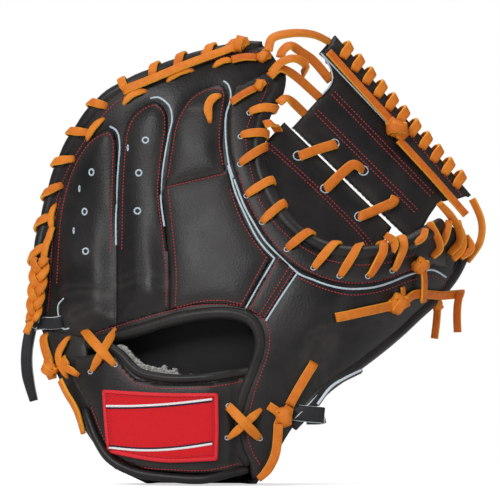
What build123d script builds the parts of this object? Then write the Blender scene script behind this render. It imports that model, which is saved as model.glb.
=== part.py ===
from build123d import *
import math
import os

os.makedirs("parts", exist_ok=True)

# A left-hand catcher's mitt standing on its heel, back of the hand towards -Y and pocket
# towards +Y. Millimetres, +Z up. The origin is on the flat underside of the heel.

# ---- driving dimensions ----
LEATHER = 3.5            # a leather panel, measured front to back
SEAM = 0.5               # clearance between neighbouring pieces
ROLL_RADIUS = 4.5        # rolled welt round the rim
CROTCH_ROLL_RADIUS = 5.0
BINDING_RADIUS = 4.0     # rolled edge of the hand opening
STRAP_ROLL_RADIUS = 3.0
LACE_WIDTH = 6.0
LACE_THICKNESS = 2.4
TAIL_RADIUS = 2.5         # a free lace, taken as round
WELT_RADIUS = 0.8        # pale piping between the finger stalls
BACK_FACE = -38.0        # depth of the back leather at the fold
FINGER_RISE = 80.0       # how far the little-finger edge comes forward
FINGER_REACH = 190.0
THUMB_RISE = 80.0        # how far the thumb edge comes forward
THUMB_REACH = 68.0
TIP_RISE = 60.0          # how far the finger tips lean forward
TIP_START = 90.0
TIP_REACH = 170.0
POCKET_FACE = -10.0      # depth of the palm leather in the pocket
RIDGE_FACE = 66.0        # depth of the padded ridge round the pocket
HEEL_FACE = 48.0         # the same ridge at the heel
HAND_DEPTH = 22.0        # room for the hand
THUMB_DEPTH = 18.0
LINING = 2.0
STRAP_ARCH = 5.0         # how far the strap bows away from the wrist
FLEECE = 3.0
PATCH = 1.2
WEB_LEATHER = 4.0
WEB_FOOT = -8.0          # depth of the web at the crotch
WEB_SLOPE = 0.69
FOLD_FOOT = (12.0, -20.0)      # where the fold axis meets the ground, X and Y
FOLD_LEAN = 20.0               # degrees the fold leans towards the thumb
FOLD_FORWARD = 0.1225          # how far it leans forward for each millimetre of height
CLOSING_ROOM = 15.0            # degrees kept free on each side, in front of the axis
FINGER_LIP = 8.8         # the palm leather stops this far in front of the back leather
THUMB_LIP = 13.5         # the same on the thumb side, which turns more steeply
OPENING_ROOM = 3.0             # the same behind the axis
FOLD_GAP = 0.3
LACE_REST = 0.6           # a lace lies this far above the leather
EDGE_TURNS = 12           # turns of lace over the top of the web
DEEP = 200.0
GRID_COLUMNS = 22         # cells each way in the smooth surfaces

LEAN_SIN = math.sin(math.radians(FOLD_LEAN))
LEAN_COS = math.cos(math.radians(FOLD_LEAN))

# ---- outlines, X and Z, seen from the back ----
RIM = [(-136, 105), (-138.5, 130), (-136.5, 150), (-132.5, 169), (-127.5, 189), (-120, 210),
       (-109.5, 228), (-96.5, 244), (-83, 253.5), (-66, 261.5), (-48.5, 268.8), (-27, 275.7),
       (-8, 279.6), (8, 281)]
CROTCH = [(19, 268), (17, 252), (9, 238), (5, 222), (6, 205), (12, 190), (24, 171), (40, 157.5),
          (58, 150.5), (78, 149), (96, 151.5)]
THUMB_TIP = [(112, 158), (124, 166), (134, 161), (139, 149), (134, 135)]
THUMB_EDGE = [(122, 119.5), (109, 108), (96, 96), (80, 83.5), (65, 72.5), (50, 62), (38, 50),
              (27, 36), (19, 23), (12, 10)]
HEEL = [(4, 0), (-66, 0)]
SIDE = [(-86, 9), (-103, 30), (-117, 55), (-129, 81)]
BODY = [RIM + CROTCH + THUMB_TIP + THUMB_EDGE, HEEL, SIDE]

LITTLE_STALL = [[(-107, 93), (-131, 100), (-129.5, 120), (-128, 140), (-126, 162), (-122, 182),
                 (-115.5, 200), (-108, 214), (-100, 222.5), (-92, 226.5), (-87, 223), (-85.6, 212),
                 (-86, 185), (-86.6, 152), (-86.6, 101)]]
RING_STALL = [[(-84.6, 101.5), (-84.6, 152), (-83.8, 185), (-82.4, 212), (-80, 228), (-73, 239),
               (-62, 244.5), (-54.5, 239), (-52.8, 228), (-55.8, 205), (-57.2, 185), (-54.4, 163),
               (-51.4, 135), (-51.4, 111)]]
MIDDLE_STALL = [[(-54.6, 193), (-52, 212), (-48, 233), (-37, 249), (-21, 255.5), (-14.8, 250),
                 (-16.6, 235), (-17.6, 218), (-15.6, 201.5)]]
INDEX_PAD = [[(-54.4, 191.6), (-14.6, 200.2)], [(-10.5, 186), (-4, 169), (4, 155), (13.2, 143.4)],
             [(-4.2, 112.6)], [(-16, 114.6), (-32, 114.4), (-49.6, 110.8)],
             [(-49, 135), (-51.8, 163), (-54.6, 184)]]
DIVIDER = [[(18.5, 150)], [(33, 140)], [(9.6, 105.6)], [(-2.6, 111.4)]]
WELT_LINE = [(-9.5, 254), (-12.8, 244), (-14, 228), (-12.8, 212), (-8, 193), (0, 174),
             (12, 154), (24, 141.5), (36, 134.5), (50, 129.5), (68, 127), (86, 129.5),
             (102, 135), (117, 139), (128, 137)]
OPENING = [(-105, 88), (-92, 92), (-70, 98.5), (-46, 105.5), (-20, 109), (-3, 106.5), (4.5, 99.5),
           (6.5, 89), (3, 76), (-4, 58), (-8, 43), (-8.6, 31), (-6, 20), (-1, 12)]
STRAP = [[(-96, 83), (-86, 81), (-79, 73), (-70, 66), (-50, 63.5), (-30, 64), (-13.5, 66)],
         [(-15.5, 40), (-13, 11)], [(-30, 7.2), (-50, 8), (-70, 11), (-86, 18.5), (-95, 30),
                                    (-103, 49), (-113, 66), (-113, 80)]]
STRAP_TOP = [(-98, 88), (-90, 87), (-82, 81.5), (-75.5, 74.5), (-68, 70), (-50, 67.2),
             (-30, 67.8), (-15, 69.8)]
STRAP_FOOT = [(-106.5, 48), (-98.5, 28), (-88.5, 14.8), (-72, 7.2), (-50, 4.2), (-30, 3.4),
              (-14, 7.2)]
PATCH_OUTLINE = [[(-94, 59.5), (-58, 58), (-21, 58)], [(-21, 15.5)], [(-56, 15.5), (-91, 20)]]
HAND_ROOM = [[(-60, -20)], [(-76, 12), (-92, 34), (-105, 58), (-113, 90), (-116, 140), (-104, 190),
              (-84, 214), (-58, 224), (-36, 220), (-30, 198), (-31, 160), (-22, 130), (0, 106),
              (6, 90), (2, 60), (-4, 30)], [(-4, -20)]]
THUMB_ROOM = [[(-4, 44), (12, 46), (44, 67), (90, 106), (110, 130), (102, 138), (70, 118),
               (30, 96), (6, 84)]]
WEB_OUTER = [[(28, 228.5), (46.5, 249)], [(52, 255), (53.5, 261), (51, 269), (45.5, 277)],
             [(55, 288)], [(143, 184.5)], [(121.5, 179.5)], [(115.5, 171), (111, 163)], [(103, 155.5)]]
WEB_INNER = [[(22, 231), (8, 216)], [(12, 193), (26, 172), (42, 159), (60, 151), (78, 150.5)],
             [(88, 160), (91, 163.5)]]
WEB_EDGE = [(58, 285.5), (140, 189)]


# ---- depth of each surface at a place on the back ----
def ramp(value):
    """0 below 0, 1 above 1, and a smooth rise between."""
    value = min(max(value, 0.0), 1.0)
    return value * value * (3 - 2 * value)


def across(x, z):
    """Distance from the fold line, positive on the thumb side."""
    return (x - FOLD_FOOT[0]) * LEAN_COS - z * LEAN_SIN


def along(x, z):
    """Height measured up the fold line."""
    return (x - FOLD_FOOT[0]) * LEAN_SIN + z * LEAN_COS


def back(x, z):
    """Outer face of the back leather."""
    side, height = across(x, z), along(x, z)
    lean = TIP_RISE * (max(height - TIP_START, 0) / TIP_REACH) ** 1.5
    fade = ramp((height - 100) / 130)
    if side < 0:
        return BACK_FACE + lean + FINGER_RISE * (side / FINGER_REACH) ** 2 * (1 - 0.55 * fade)
    return BACK_FACE + lean + THUMB_RISE * (side / THUMB_REACH) ** 1.7 * (1 - 0.25 * fade)


def front(x, z):
    """Face of the palm leather: a bowl inside a padded ridge."""
    side, height = across(x, z) + 26, along(x, z) - 140
    side_reach = 140 if side < 0 else 75
    height_reach = 140 if height < 0 else 130
    share = ramp(math.hypot(side / side_reach, height / height_reach))
    heel = ramp((60 - along(x, z)) / 60)
    ridge = RIDGE_FACE + (HEEL_FACE - RIDGE_FACE) * heel
    return POCKET_FACE + (ridge - POCKET_FACE) * share


def strap(x, z):
    """Outer face of the wrist strap."""
    bow = ramp((x + 114) / 22) * ramp((-4 - x) / 26)
    return back(x, z) - LEATHER - SEAM - STRAP_ARCH * bow


def web(x, z):
    """Face of the web towards the back."""
    return WEB_FOOT + WEB_SLOPE * (0.763 * x + 0.647 * z - 129)


def surface(depth):
    """A smooth face over the whole mitt, at the depth that a function gives."""
    grid = []
    for i in range(GRID_COLUMNS + 1):
        x = -160 + 320 * i / GRID_COLUMNS
        heights = [-25 + 325 * j / GRID_COLUMNS for j in range(GRID_COLUMNS + 1)]
        grid.append([Vector(x, depth(x, z), z) for z in heights])
    return Face.make_surface_from_array_of_points(grid, tol=0.01, min_deg=3)


BACK = surface(back)
FRONT = surface(front)
STRAP_SURFACE = surface(strap)
WEB = surface(web)


# ---- tools ----
def save(name, *solids):
    shape = solids[0] if len(solids) == 1 else Compound(children=list(solids))
    export_step(shape, f"parts/{name}.step")


def biggest(shape):
    return sorted(shape.solids(), key=lambda solid: solid.volume)[-1]


def loop_points(runs):
    return [point for run in runs for point in run]


def moved_out(runs, amount):
    """The same closed outline with each corner pushed out by amount."""
    points = loop_points(runs)
    count = len(points)
    area = sum(points[i][0] * points[(i + 1) % count][1] - points[(i + 1) % count][0] * points[i][1]
               for i in range(count))
    turn = 1 if area > 0 else -1
    result = []
    for i, (x, z) in enumerate(points):
        before, after = points[i - 1], points[(i + 1) % count]
        first = Vector(x - before[0], z - before[1]).normalized()
        second = Vector(after[0] - x, after[1] - z).normalized()
        normal = Vector(first.Y + second.Y, -first.X - second.X).normalized() * turn
        stretch = max(abs(normal.X * first.Y - normal.Y * first.X), 0.5)
        result.append((x + normal.X * amount / stretch, z + normal.Y * amount / stretch))
    place, grown = 0, []
    for run in runs:
        grown.append(result[place:place + len(run)])
        place += len(run)
    return grown


def prism(runs, grow=0.0):
    """A block running right through the mitt. Each run is a smooth curve; runs join with straight lines."""
    runs = moved_out(runs, grow) if grow else runs
    edges = []
    for i, run in enumerate(runs):
        points = [(x, -DEEP, z) for x, z in run]
        if len(points) > 1:
            edges.append(Spline(*points) if len(points) > 2 else Line(*points))
        following = runs[(i + 1) % len(runs)][0]
        edges.append(Line(points[-1], (following[0], -DEEP, following[1])))
    outline = Face(Wire(edges))
    return extrude(outline, amount=2 * DEEP, dir=(0, 1, 0))


def ahead_of(face, lift):
    """Everything on the palm side of a surface moved forward by lift."""
    return extrude(Pos(0, lift, 0) * face, amount=DEEP, dir=(0, 1, 0))


def behind(face, lift):
    return extrude(Pos(0, lift, 0) * face, amount=DEEP, dir=(0, -1, 0))


def panel(runs, face, lift, thickness, grow=0.0):
    """A sheet of leather that follows a surface inside an outline."""
    slab = extrude(Pos(0, lift, 0) * face, amount=thickness, dir=(0, 1, 0))
    return prism(runs, grow) & slab


def fold_side(side):
    """The room on one side of the fold: +1 for the thumb side, -1 for the finger side."""
    axis = Vector(LEAN_SIN, FOLD_FORWARD, LEAN_COS).normalized()
    frame = Plane(origin=(FOLD_FOOT[0], FOLD_FOOT[1], 0), x_dir=(LEAN_COS, 0, -LEAN_SIN), z_dir=axis)
    far = 2 * DEEP
    ahead = math.tan(math.radians(CLOSING_ROOM)) * far
    rearward = math.tan(math.radians(OPENING_ROOM)) * far
    corners = [(FOLD_GAP * side, 0), (FOLD_GAP * side + ahead * side, far), (far * side, far),
               (far * side, -far), (FOLD_GAP * side + rearward * side, -far)]
    local = Face(Wire(Polyline(*corners, close=True).edges()))
    block = extrude(frame * local, amount=far, dir=tuple(axis))
    below = extrude(frame * local, amount=DEEP, dir=tuple(axis * -1))
    return block + below


FINGER_SIDE = fold_side(-1)
THUMB_SIDE = fold_side(1)


def facing(depth, x, z):
    """Direction square to a surface, towards the back."""
    slope_x = (depth(x + 1, z) - depth(x - 1, z)) / 2
    slope_z = (depth(x, z + 1) - depth(x, z - 1)) / 2
    return Vector(slope_x, -1, slope_z).normalized()


def lifted(points, depth, lift):
    """Places on a surface, raised square to it."""
    return [Vector(x, depth(x, z), z) + facing(depth, x, z) * lift for x, z in points]


def spread(points, count):
    """Evenly spaced places on the smooth curve through some points."""
    curve = Spline(*points) if len(points) > 2 else Line(*points)
    places = [curve.position_at(i / (count - 1)) for i in range(count)]
    return [(place.X, place.Y) for place in places]


def shifted(points, amount):
    """An open curve moved sideways, positive to the left of its direction."""
    result = []
    for i, (x, z) in enumerate(points):
        before, after = points[max(i - 1, 0)], points[min(i + 1, len(points) - 1)]
        run = Vector(after[0] - before[0], after[1] - before[1]).normalized()
        result.append((x - run.Y * amount, z + run.X * amount))
    return result


def roll_line(path):
    """Straight runs joined by tangent arcs, and the radius of each arc."""
    radii = []
    for before, here, after in zip(path, path[1:], path[2:]):
        first, second = here - before, after - here
        half = math.radians(first.get_angle(second)) / 2
        radii.append(0.45 * min(first.length, second.length) / math.tan(max(half, 0.001)))
    return FilletPolyline(*path, radius=radii), radii


def tube(line, radius):
    """A rolled cord of leather along a line."""
    start = Plane(origin=line.position_at(0), z_dir=line.tangent_at(0))
    return sweep(start * Circle(radius), path=line)


def roll(points, count, depth, lift, radius):
    places = spread(points, count) if count else points
    if len(places) == 2:
        return tube(Line(*lifted(places, depth, lift)), radius)
    return tube(roll_line(lifted(places, depth, lift))[0], radius)


def lace(path, faces, width=LACE_WIDTH, thickness=LACE_THICKNESS):
    """A flat lace lying along a list of places, as one solid; faces are its directions up."""
    result = None
    for start, end, face in zip(path, path[1:], faces):
        run = end - start
        sideways = face.cross(run).normalized()
        frame = Plane(origin=(start + end) * 0.5, x_dir=run, z_dir=run.cross(sideways))
        piece = frame * Box(run.length + thickness * 0.5, width, thickness)
        result = piece if result is None else result + piece
    return result


def surface_lace(points, depth, count=5, lift=0.0, width=LACE_WIDTH, thickness=LACE_THICKNESS):
    """A lace that lies on a surface."""
    places = spread(points, count)
    faces = [facing(depth, (a[0] + b[0]) / 2, (a[1] + b[1]) / 2) for a, b in zip(places, places[1:])]
    return lace(lifted(places, depth, thickness / 2 + LACE_REST + lift), faces, width, thickness)


def knot(x, z, depth, length=14.0, width=11.0, height=6.0, angle=0.0, lift=0.0):
    """A tightened overhand knot: a rounded lump lying on a surface."""
    centre = lifted([(x, z)], depth, height / 2 + LACE_REST + lift)[0]
    turned = math.radians(angle)
    run = Vector(math.cos(turned), 0, -math.sin(turned))
    face = facing(depth, x, z)
    run = (run - face * run.dot(face)).normalized()
    lump = fillet(Box(length, width, height).edges(), radius=1.8)
    return Plane(origin=centre, x_dir=run, z_dir=face) * lump


def roll_loop(line, share, depth, radius, tail):
    """One turn of lace over a roll: half a ring outside and a tail going in to its hole."""
    centre, direction = line.position_at(share), line.tangent_at(share)
    face = facing(depth, centre.X, centre.Z)
    face = (face - direction * face.dot(direction)).normalized()
    outward = face.cross(direction)
    frame = Plane(origin=centre - direction * LACE_WIDTH / 2, x_dir=outward, z_dir=direction)
    inner, outer = radius + 0.4, radius + 0.4 + LACE_THICKNESS
    ring = Circle(outer) - Circle(inner)
    keep = Pos(outer, 0) * Rectangle(2 * outer, 4 * outer)
    # the frame's own Y runs square to the leather; the tail goes on its outer side
    way = 1 if frame.y_dir.dot(face) > 0 else -1
    strip = Pos(-tail / 2, way * (inner + outer) / 2) * Rectangle(tail + 0.2, LACE_THICKNESS)
    return extrude(frame * ((ring & keep) + strip), amount=LACE_WIDTH, dir=tuple(direction))


# ---- lines of the rolled edges ----
FINGER_CROTCH = [(x, z) for x, z in CROTCH if across(x, z) < -14]
THUMB_CROTCH = [(x, z) for x, z in CROTCH + THUMB_TIP[:2] if across(x, z) > 5]
THUMB_RIM = THUMB_TIP[2:] + THUMB_EDGE[:-3]
RIM_LINE = roll_line(lifted(spread(RIM, 12), back, -2.0))[0]
FINGER_CROTCH_LINE = roll_line(lifted(spread(FINGER_CROTCH, 8), back, -2.0))[0]
THUMB_CROTCH_LINE = roll_line(lifted(spread(THUMB_CROTCH, 5), back, -2.0))[0]
THUMB_RIM_LINE = roll_line(lifted(spread(THUMB_RIM, 9), back, -2.0))[0]
OPENING_LINE = roll_line(lifted(spread(OPENING, 16), back, -1.0))[0]
BEDS = [tube(RIM_LINE, ROLL_RADIUS + SEAM), tube(FINGER_CROTCH_LINE, CROTCH_ROLL_RADIUS + SEAM),
        tube(THUMB_CROTCH_LINE, CROTCH_ROLL_RADIUS + SEAM), tube(THUMB_RIM_LINE, ROLL_RADIUS + SEAM),
        tube(OPENING_LINE, BINDING_RADIUS + SEAM)]


def bedded(piece):
    """A piece with the room taken out that the rolled edges lie in."""
    for bed in BEDS:
        piece -= bed
    return piece


# ---- back of the mitt: finger stalls, index pad and the field round them ----
WRIST_ROOM = [shifted(OPENING, BINDING_RADIUS + SEAM), [(0, -20)], [(-80, -20), (-108, 60)]]


def stall(runs):
    return biggest(panel(runs, BACK, 0, LEATHER) & FINGER_SIDE)


def make_back():
    save("little_finger_stall", stall(LITTLE_STALL))
    save("ring_finger_stall", stall(RING_STALL))
    save("middle_finger_stall", stall(MIDDLE_STALL))
    save("index_pad_panel", stall(INDEX_PAD))
    band = [WELT_LINE, list(reversed(shifted(CROTCH[1:] + THUMB_TIP[:1], -CROTCH_ROLL_RADIUS - SEAM)))]
    band_sheet = bedded(panel(band, BACK, 0, LEATHER))
    save("crotch_band_finger", biggest(band_sheet & FINGER_SIDE))
    save("crotch_band_thumb", biggest(band_sheet & THUMB_SIDE))
    divider = panel(DIVIDER, BACK, 0, LEATHER) - prism(band, grow=SEAM) - prism(INDEX_PAD, grow=SEAM)
    save("divider_strip", biggest(divider))

    field = panel(BODY, BACK, 0, LEATHER, grow=-ROLL_RADIUS - 2 * SEAM)
    for runs in (LITTLE_STALL, RING_STALL, MIDDLE_STALL, INDEX_PAD, DIVIDER, band):
        field -= prism(runs, grow=SEAM)
    field = bedded(field - prism(WRIST_ROOM))
    pieces = sorted((field & FINGER_SIDE).solids(), key=lambda solid: -solid.volume)
    save("back_field", pieces[0])
    save("heel_flap", pieces[1])
    save("thumb_back_panel", biggest(field & THUMB_SIDE))


# ---- rolled edges and welts ----
def make_rolls():
    save("rim_roll", tube(RIM_LINE, ROLL_RADIUS))
    save("crotch_roll_finger", tube(FINGER_CROTCH_LINE, CROTCH_ROLL_RADIUS))
    save("crotch_roll_thumb", tube(THUMB_CROTCH_LINE, CROTCH_ROLL_RADIUS))
    save("thumb_rim_roll", tube(THUMB_RIM_LINE, ROLL_RADIUS))
    save("opening_binding", tube(OPENING_LINE, BINDING_RADIUS))
    save("strap_top_binding", roll(STRAP_TOP, 7, strap, -1.8, STRAP_ROLL_RADIUS))
    save("strap_foot_binding", roll(STRAP_FOOT, 7, strap, -1.8, STRAP_ROLL_RADIUS))
    lines = [[(-86, 152), (-85, 185), (-84, 212), (-85.5, 222), (-90.5, 228.5)],
             [(-54.2, 163), (-57.2, 185), (-54, 210), (-50.5, 230), (-54.5, 243), (-62, 246.8)],
             [(-13.6, 203), (-15.6, 222), (-15.6, 236), (-12.4, 248), (-16.6, 257.4)],
             [(15.5, 143.5), (-2.6, 112.6)], [(30, 134), (10.4, 104.4)]]
    welts = [roll(line, 8 if len(line) > 2 else 0, back, WELT_RADIUS + 0.3, WELT_RADIUS) for line in lines]
    finger_line = [point for point in WELT_LINE if across(*point) < -3]
    welts.append(roll(shifted(finger_line, 0.8), 12, back, WELT_RADIUS + 0.3, WELT_RADIUS))
    save("stall_welts", *welts)
    thumb_line = [point for point in WELT_LINE if across(*point) > 3]
    save("crotch_welt_thumb", roll(shifted(thumb_line, 0.8), 9, back, WELT_RADIUS + 0.4, WELT_RADIUS))


# ---- wrist strap ----
def make_strap():
    save("wrist_strap", panel(STRAP, STRAP_SURFACE, 0, LEATHER))
    fleece = panel(moved_out(STRAP, -3.0), STRAP_SURFACE, LEATHER + 0.3, FLEECE)
    save("strap_fleece", biggest(fleece & prism(WRIST_ROOM, grow=-1.0)))
    save("label_patch", panel(PATCH_OUTLINE, STRAP_SURFACE, -PATCH - 0.2, PATCH))


# ---- padding, linings and palm leather ----
def make_body():
    hand_room = prism(HAND_ROOM) & behind(BACK, LEATHER + HAND_DEPTH)
    thumb_room = prism(THUMB_ROOM) & behind(BACK, LEATHER + THUMB_DEPTH)
    hand_sheet = panel(HAND_ROOM, BACK, LEATHER + HAND_DEPTH + 0.2, LINING, grow=-0.4)
    hand_sheet &= Pos(0, 0, DEEP) * Box(4 * DEEP, 4 * DEEP, 2 * DEEP)
    thumb_sheet = panel(THUMB_ROOM, BACK, LEATHER + THUMB_DEPTH + 0.2, LINING, grow=-0.4)
    thumb_sheet -= prism(HAND_ROOM, grow=0.4)
    save("hand_lining", biggest(hand_sheet & FINGER_SIDE))
    save("thumb_lining", biggest(thumb_sheet & THUMB_SIDE))
    hand_room += prism(HAND_ROOM) & behind(BACK, LEATHER + HAND_DEPTH + LINING + 0.4)
    thumb_room += prism(THUMB_ROOM) & behind(BACK, LEATHER + THUMB_DEPTH + LINING + 0.4)

    pad = prism(BODY, grow=-CROTCH_ROLL_RADIUS - 2.5) & ahead_of(BACK, LEATHER + SEAM)
    pad &= behind(FRONT, -LEATHER - 0.3)
    pad -= hand_room
    pad -= thumb_room
    pad = bedded(pad)
    heel_top = Pos(0, 0, -DEEP / 2 + 85) * Box(4 * DEEP, 4 * DEEP, DEEP)
    finger_padding = pad & FINGER_SIDE
    save("heel_pad", biggest(finger_padding & heel_top))
    save("finger_pad", biggest(finger_padding - Pos(0, 0, 0.6) * heel_top))
    save("thumb_pad", biggest(pad & THUMB_SIDE))

    shell = prism(BODY) & ahead_of(BACK, FINGER_LIP) & behind(FRONT, 0)
    shell -= prism(BODY, grow=-LEATHER) & behind(FRONT, -LEATHER)
    shell -= hand_room
    save("palm_leather_finger", biggest(shell & FINGER_SIDE))
    save("palm_leather_thumb", biggest(shell & THUMB_SIDE & ahead_of(BACK, THUMB_LIP)))


# ---- web ----
def make_web():
    outer = panel(WEB_OUTER, WEB, 0, WEB_LEATHER) - prism(BODY, grow=1.0)
    inner = panel(WEB_INNER, WEB, 0, WEB_LEATHER) - prism(BODY, grow=CROTCH_ROLL_RADIUS + LACE_THICKNESS + 0.8)
    save("web_outer_finger", biggest(outer & FINGER_SIDE))
    save("web_outer_thumb", biggest(outer & THUMB_SIDE))
    save("web_inner_finger", biggest(inner & FINGER_SIDE))
    save("web_inner_thumb", biggest(inner & THUMB_SIDE))

    bars = [[(31, 212), (54, 217)], [(50, 190), (72, 202)], [(81.5, 168.5), (95, 181)]]
    cross = [surface_lace(bar, web, 3, width=LACE_WIDTH + 1) for bar in bars]
    save("web_cross_laces_finger", *cross[:2])
    save("web_cross_lace_thumb", cross[2])

    turns = {"finger": [], "thumb": []}
    start, end = WEB_EDGE
    for i in range(EDGE_TURNS):
        share = (i + 0.5) / EDGE_TURNS
        x, z = start[0] + (end[0] - start[0]) * share, start[1] + (end[1] - start[1]) * share
        if abs(across(x, z)) < 16:
            continue
        turn = surface_lace([(x - 1, z - 1.2), (x - 5.2, z - 5.4)], web, 2, width=5.0)
        turns["finger" if across(x, z) < 0 else "thumb"].append(turn)
    save("web_edge_lace_finger", *turns["finger"])
    straight = surface_lace([(52, 275), (88, 233)], web, 3)
    save("web_straight_lace", straight + knot(89, 231, web, angle=50))
    lower = surface_lace([(116, 200.5), (138, 174)], web, 3)
    save("web_edge_lace_thumb", *turns["thumb"], lower)


# ---- laces ----
def make_laces():
    turns = [0.165, 0.245, 0.33, 0.415, 0.505, 0.60]
    loops = [roll_loop(RIM_LINE, share, back, ROLL_RADIUS, 8.0) for share in turns]
    ties = [roll_loop(RIM_LINE, share, back, ROLL_RADIUS, 1.0) for share in (0.675, 0.76, 0.845, 0.91)]
    save("rim_lace", *loops, *ties)
    top = [(-81, 248), (-60, 255.4), (-32, 265.6), (-8, 272.2)]
    save("top_lace", surface_lace(top, back, 8), knot(1, 272, back, 11, 9, 5, angle=-20))
    ends = [[(-103, 221), (-95, 231)], [(-80, 243), (-68, 248.5)]]
    save("finger_knots", surface_lace([(-22, 263), (0, 263.5)], back, 4),
         knot(7.5, 262, back, 9, 8, 5, angle=10),
         *[surface_lace(end, back, 3, width=4.0) for end in ends])
    tie = surface_lace([(-21, 246), (-26, 240), (-25, 232)], back, 5, width=4.0)
    save("middle_finger_knot", surface_lace([(-8, 241.5), (-1, 245)], back, 3, lift=1.2)
         + knot(2, 247.5, back, 8, 7, 5, angle=-30, lift=1.0), tie)

    finger = [0.20, 0.31, 0.42, 0.54, 0.66, 0.80]
    save("crotch_laces_finger",
         *[roll_loop(FINGER_CROTCH_LINE, share, back, CROTCH_ROLL_RADIUS, 8.0) for share in finger])
    save("crotch_laces_thumb",
         *[roll_loop(THUMB_CROTCH_LINE, share, back, CROTCH_ROLL_RADIUS, 8.0) for share in (0.2, 0.5, 0.8)])
    save("thumb_rim_lace",
         *[roll_loop(THUMB_RIM_LINE, share, back, ROLL_RADIUS, 2.0) for share in (0.32, 0.5, 0.68)])

    # laces between the index finger tip and the web stand free of the leather
    routes = [[(15, 283), (25, 287), (38, 287), (51, 280)],
              [(22, 269), (32, 276), (43, 270), (54, 256)],
              [(22, 257), (32, 261), (45, 244)], [(19.5, 241), (26, 243), (36, 233)]]
    spans = []
    for route in routes:
        first = back(*route[0]) - 1
        last = web(*route[-1]) - SEAM - LACE_THICKNESS / 2
        points = [Vector(x, first + (last - first) * i / (len(route) - 1), z)
                  for i, (x, z) in enumerate(route)]
        spans.append(lace(points, [Vector(-0.3, -1, 0.2)] * 4, width=5.5, thickness=2.0))
    save("finger_web_laces", *spans)

    save("strap_lace_left", surface_lace([(-106, 92), (-92, 80)], strap, 3, lift=0.6),
         surface_lace([(-114, 91), (-117.5, 80), (-113, 69)], back, 3, lift=0.4))
    save("heel_lace_cross", surface_lace([(-12, 48), (4, 31)], back, 3, lift=3.8))

    braid = surface_lace([(-127, 176), (-129, 158), (-132, 143)], back, 6)
    save("side_knot", braid + knot(-128.6, 127, back, 26, 9, 6, angle=88, lift=0.1),
         knot(-130.5, 106, back, 9, 10, 5, angle=88))
    save("side_lace", surface_lace([(-127.5, 92), (-126, 80)], back, 3)
         + knot(-125.5, 73.5, back, 12, 8, 5, angle=80))

    save("heel_knot", knot(20, 42, back, 15, 11, 6, angle=-35)
         + surface_lace([(24, 50), (35, 73)], back, 4))
    save("thumb_lace", surface_lace([(55, 106), (74, 110), (88, 113.5)], back, 5)
         + knot(92, 114.5, back, 14, 11, 5, angle=-12)
         + surface_lace([(97, 116.5), (112, 121)], back, 4))
    save("thumb_tip_knot", knot(106, 139.5, back, 11, 7, 5, lift=0.6),
         surface_lace([(107.5, 133.5), (108, 124)], back, 3, lift=0.8))
    ends = [[(119.5, 121), (118.5, 111)], [(131, 133), (131.5, 127)]]
    ends = [surface_lace(end, back, 2, lift=1.0) for end in ends]
    spots = [[(114, 150), (119, 163), (116, 170)], [(126, 149), (129, 163), (124, 178)]]
    rising = []
    for spot, rise in zip(spots, (CROTCH_ROLL_RADIUS, 2.0)):
        near = lifted(spot[:1], back, rise)[0]
        far = web(*spot[-1]) - SEAM - LACE_THICKNESS
        points = [near] + [Vector(x, near.Y + (far - near.Y) * i / 2, z)
                           for i, (x, z) in enumerate(spot) if i]
        rising.append(lace(points, [Vector(-0.5, -1, 0)] * 2, width=5.0, thickness=2.0))
    save("thumb_tip_lacing", *rising, *ends)

    # black ties of the little finger and the thumb
    save("little_finger_tie", surface_lace([(-117, 100), (-131, 99)], back, 3, width=7.0))
    save("thumb_tie", surface_lace([(34.5, 53), (43, 61), (52, 70)], back, 4, width=5.0))


# ---- free laces, each with its own route ----
TAILS = {
    "side_lace_tail": [(-121.5, 0.5, 65.5), (-117.5, -3, 57), (-113, -5, 50.5), (-109.5, -6.5, 43),
                       (-106.5, -8, 31.5)],
    "heel_lace_tail": [(18, -47.5, 38.5), (17.5, -48, 26), (15.5, -48, 16.5), (10.5, -47, 7.5),
                       (5.5, -46, 3.5)],
    "little_finger_tail": [(-140, 33, 103), (-143, 31, 90), (-144, 30, 77), (-142.5, 30, 64),
                           (-139, 31, 52)],
    "web_loop_lace": [(143.5, 60, 182), (149, 60, 172), (150.5, 59, 161), (147.5, 57, 150),
                      (140.5, 53, 141.5)],
}


def make_tails():
    for name, route in TAILS.items():
        line, radii = roll_line([Vector(*point) for point in route])
        solid = tube(line, TAIL_RADIUS)
        print(name, "radii", [round(radius, 1) for radius in radii], "length", round(line.length, 1),
              "volume share", round(solid.volume / (math.pi * TAIL_RADIUS ** 2 * line.length), 3))
        save(name, solid)


make_back()
make_rolls()
make_strap()
make_body()
make_web()
make_laces()
make_tails()
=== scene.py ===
import math

import bmesh
import bpy
import numpy as np
from mathutils import Matrix, Vector, noise
from mathutils.bvhtree import BVHTree


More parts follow.
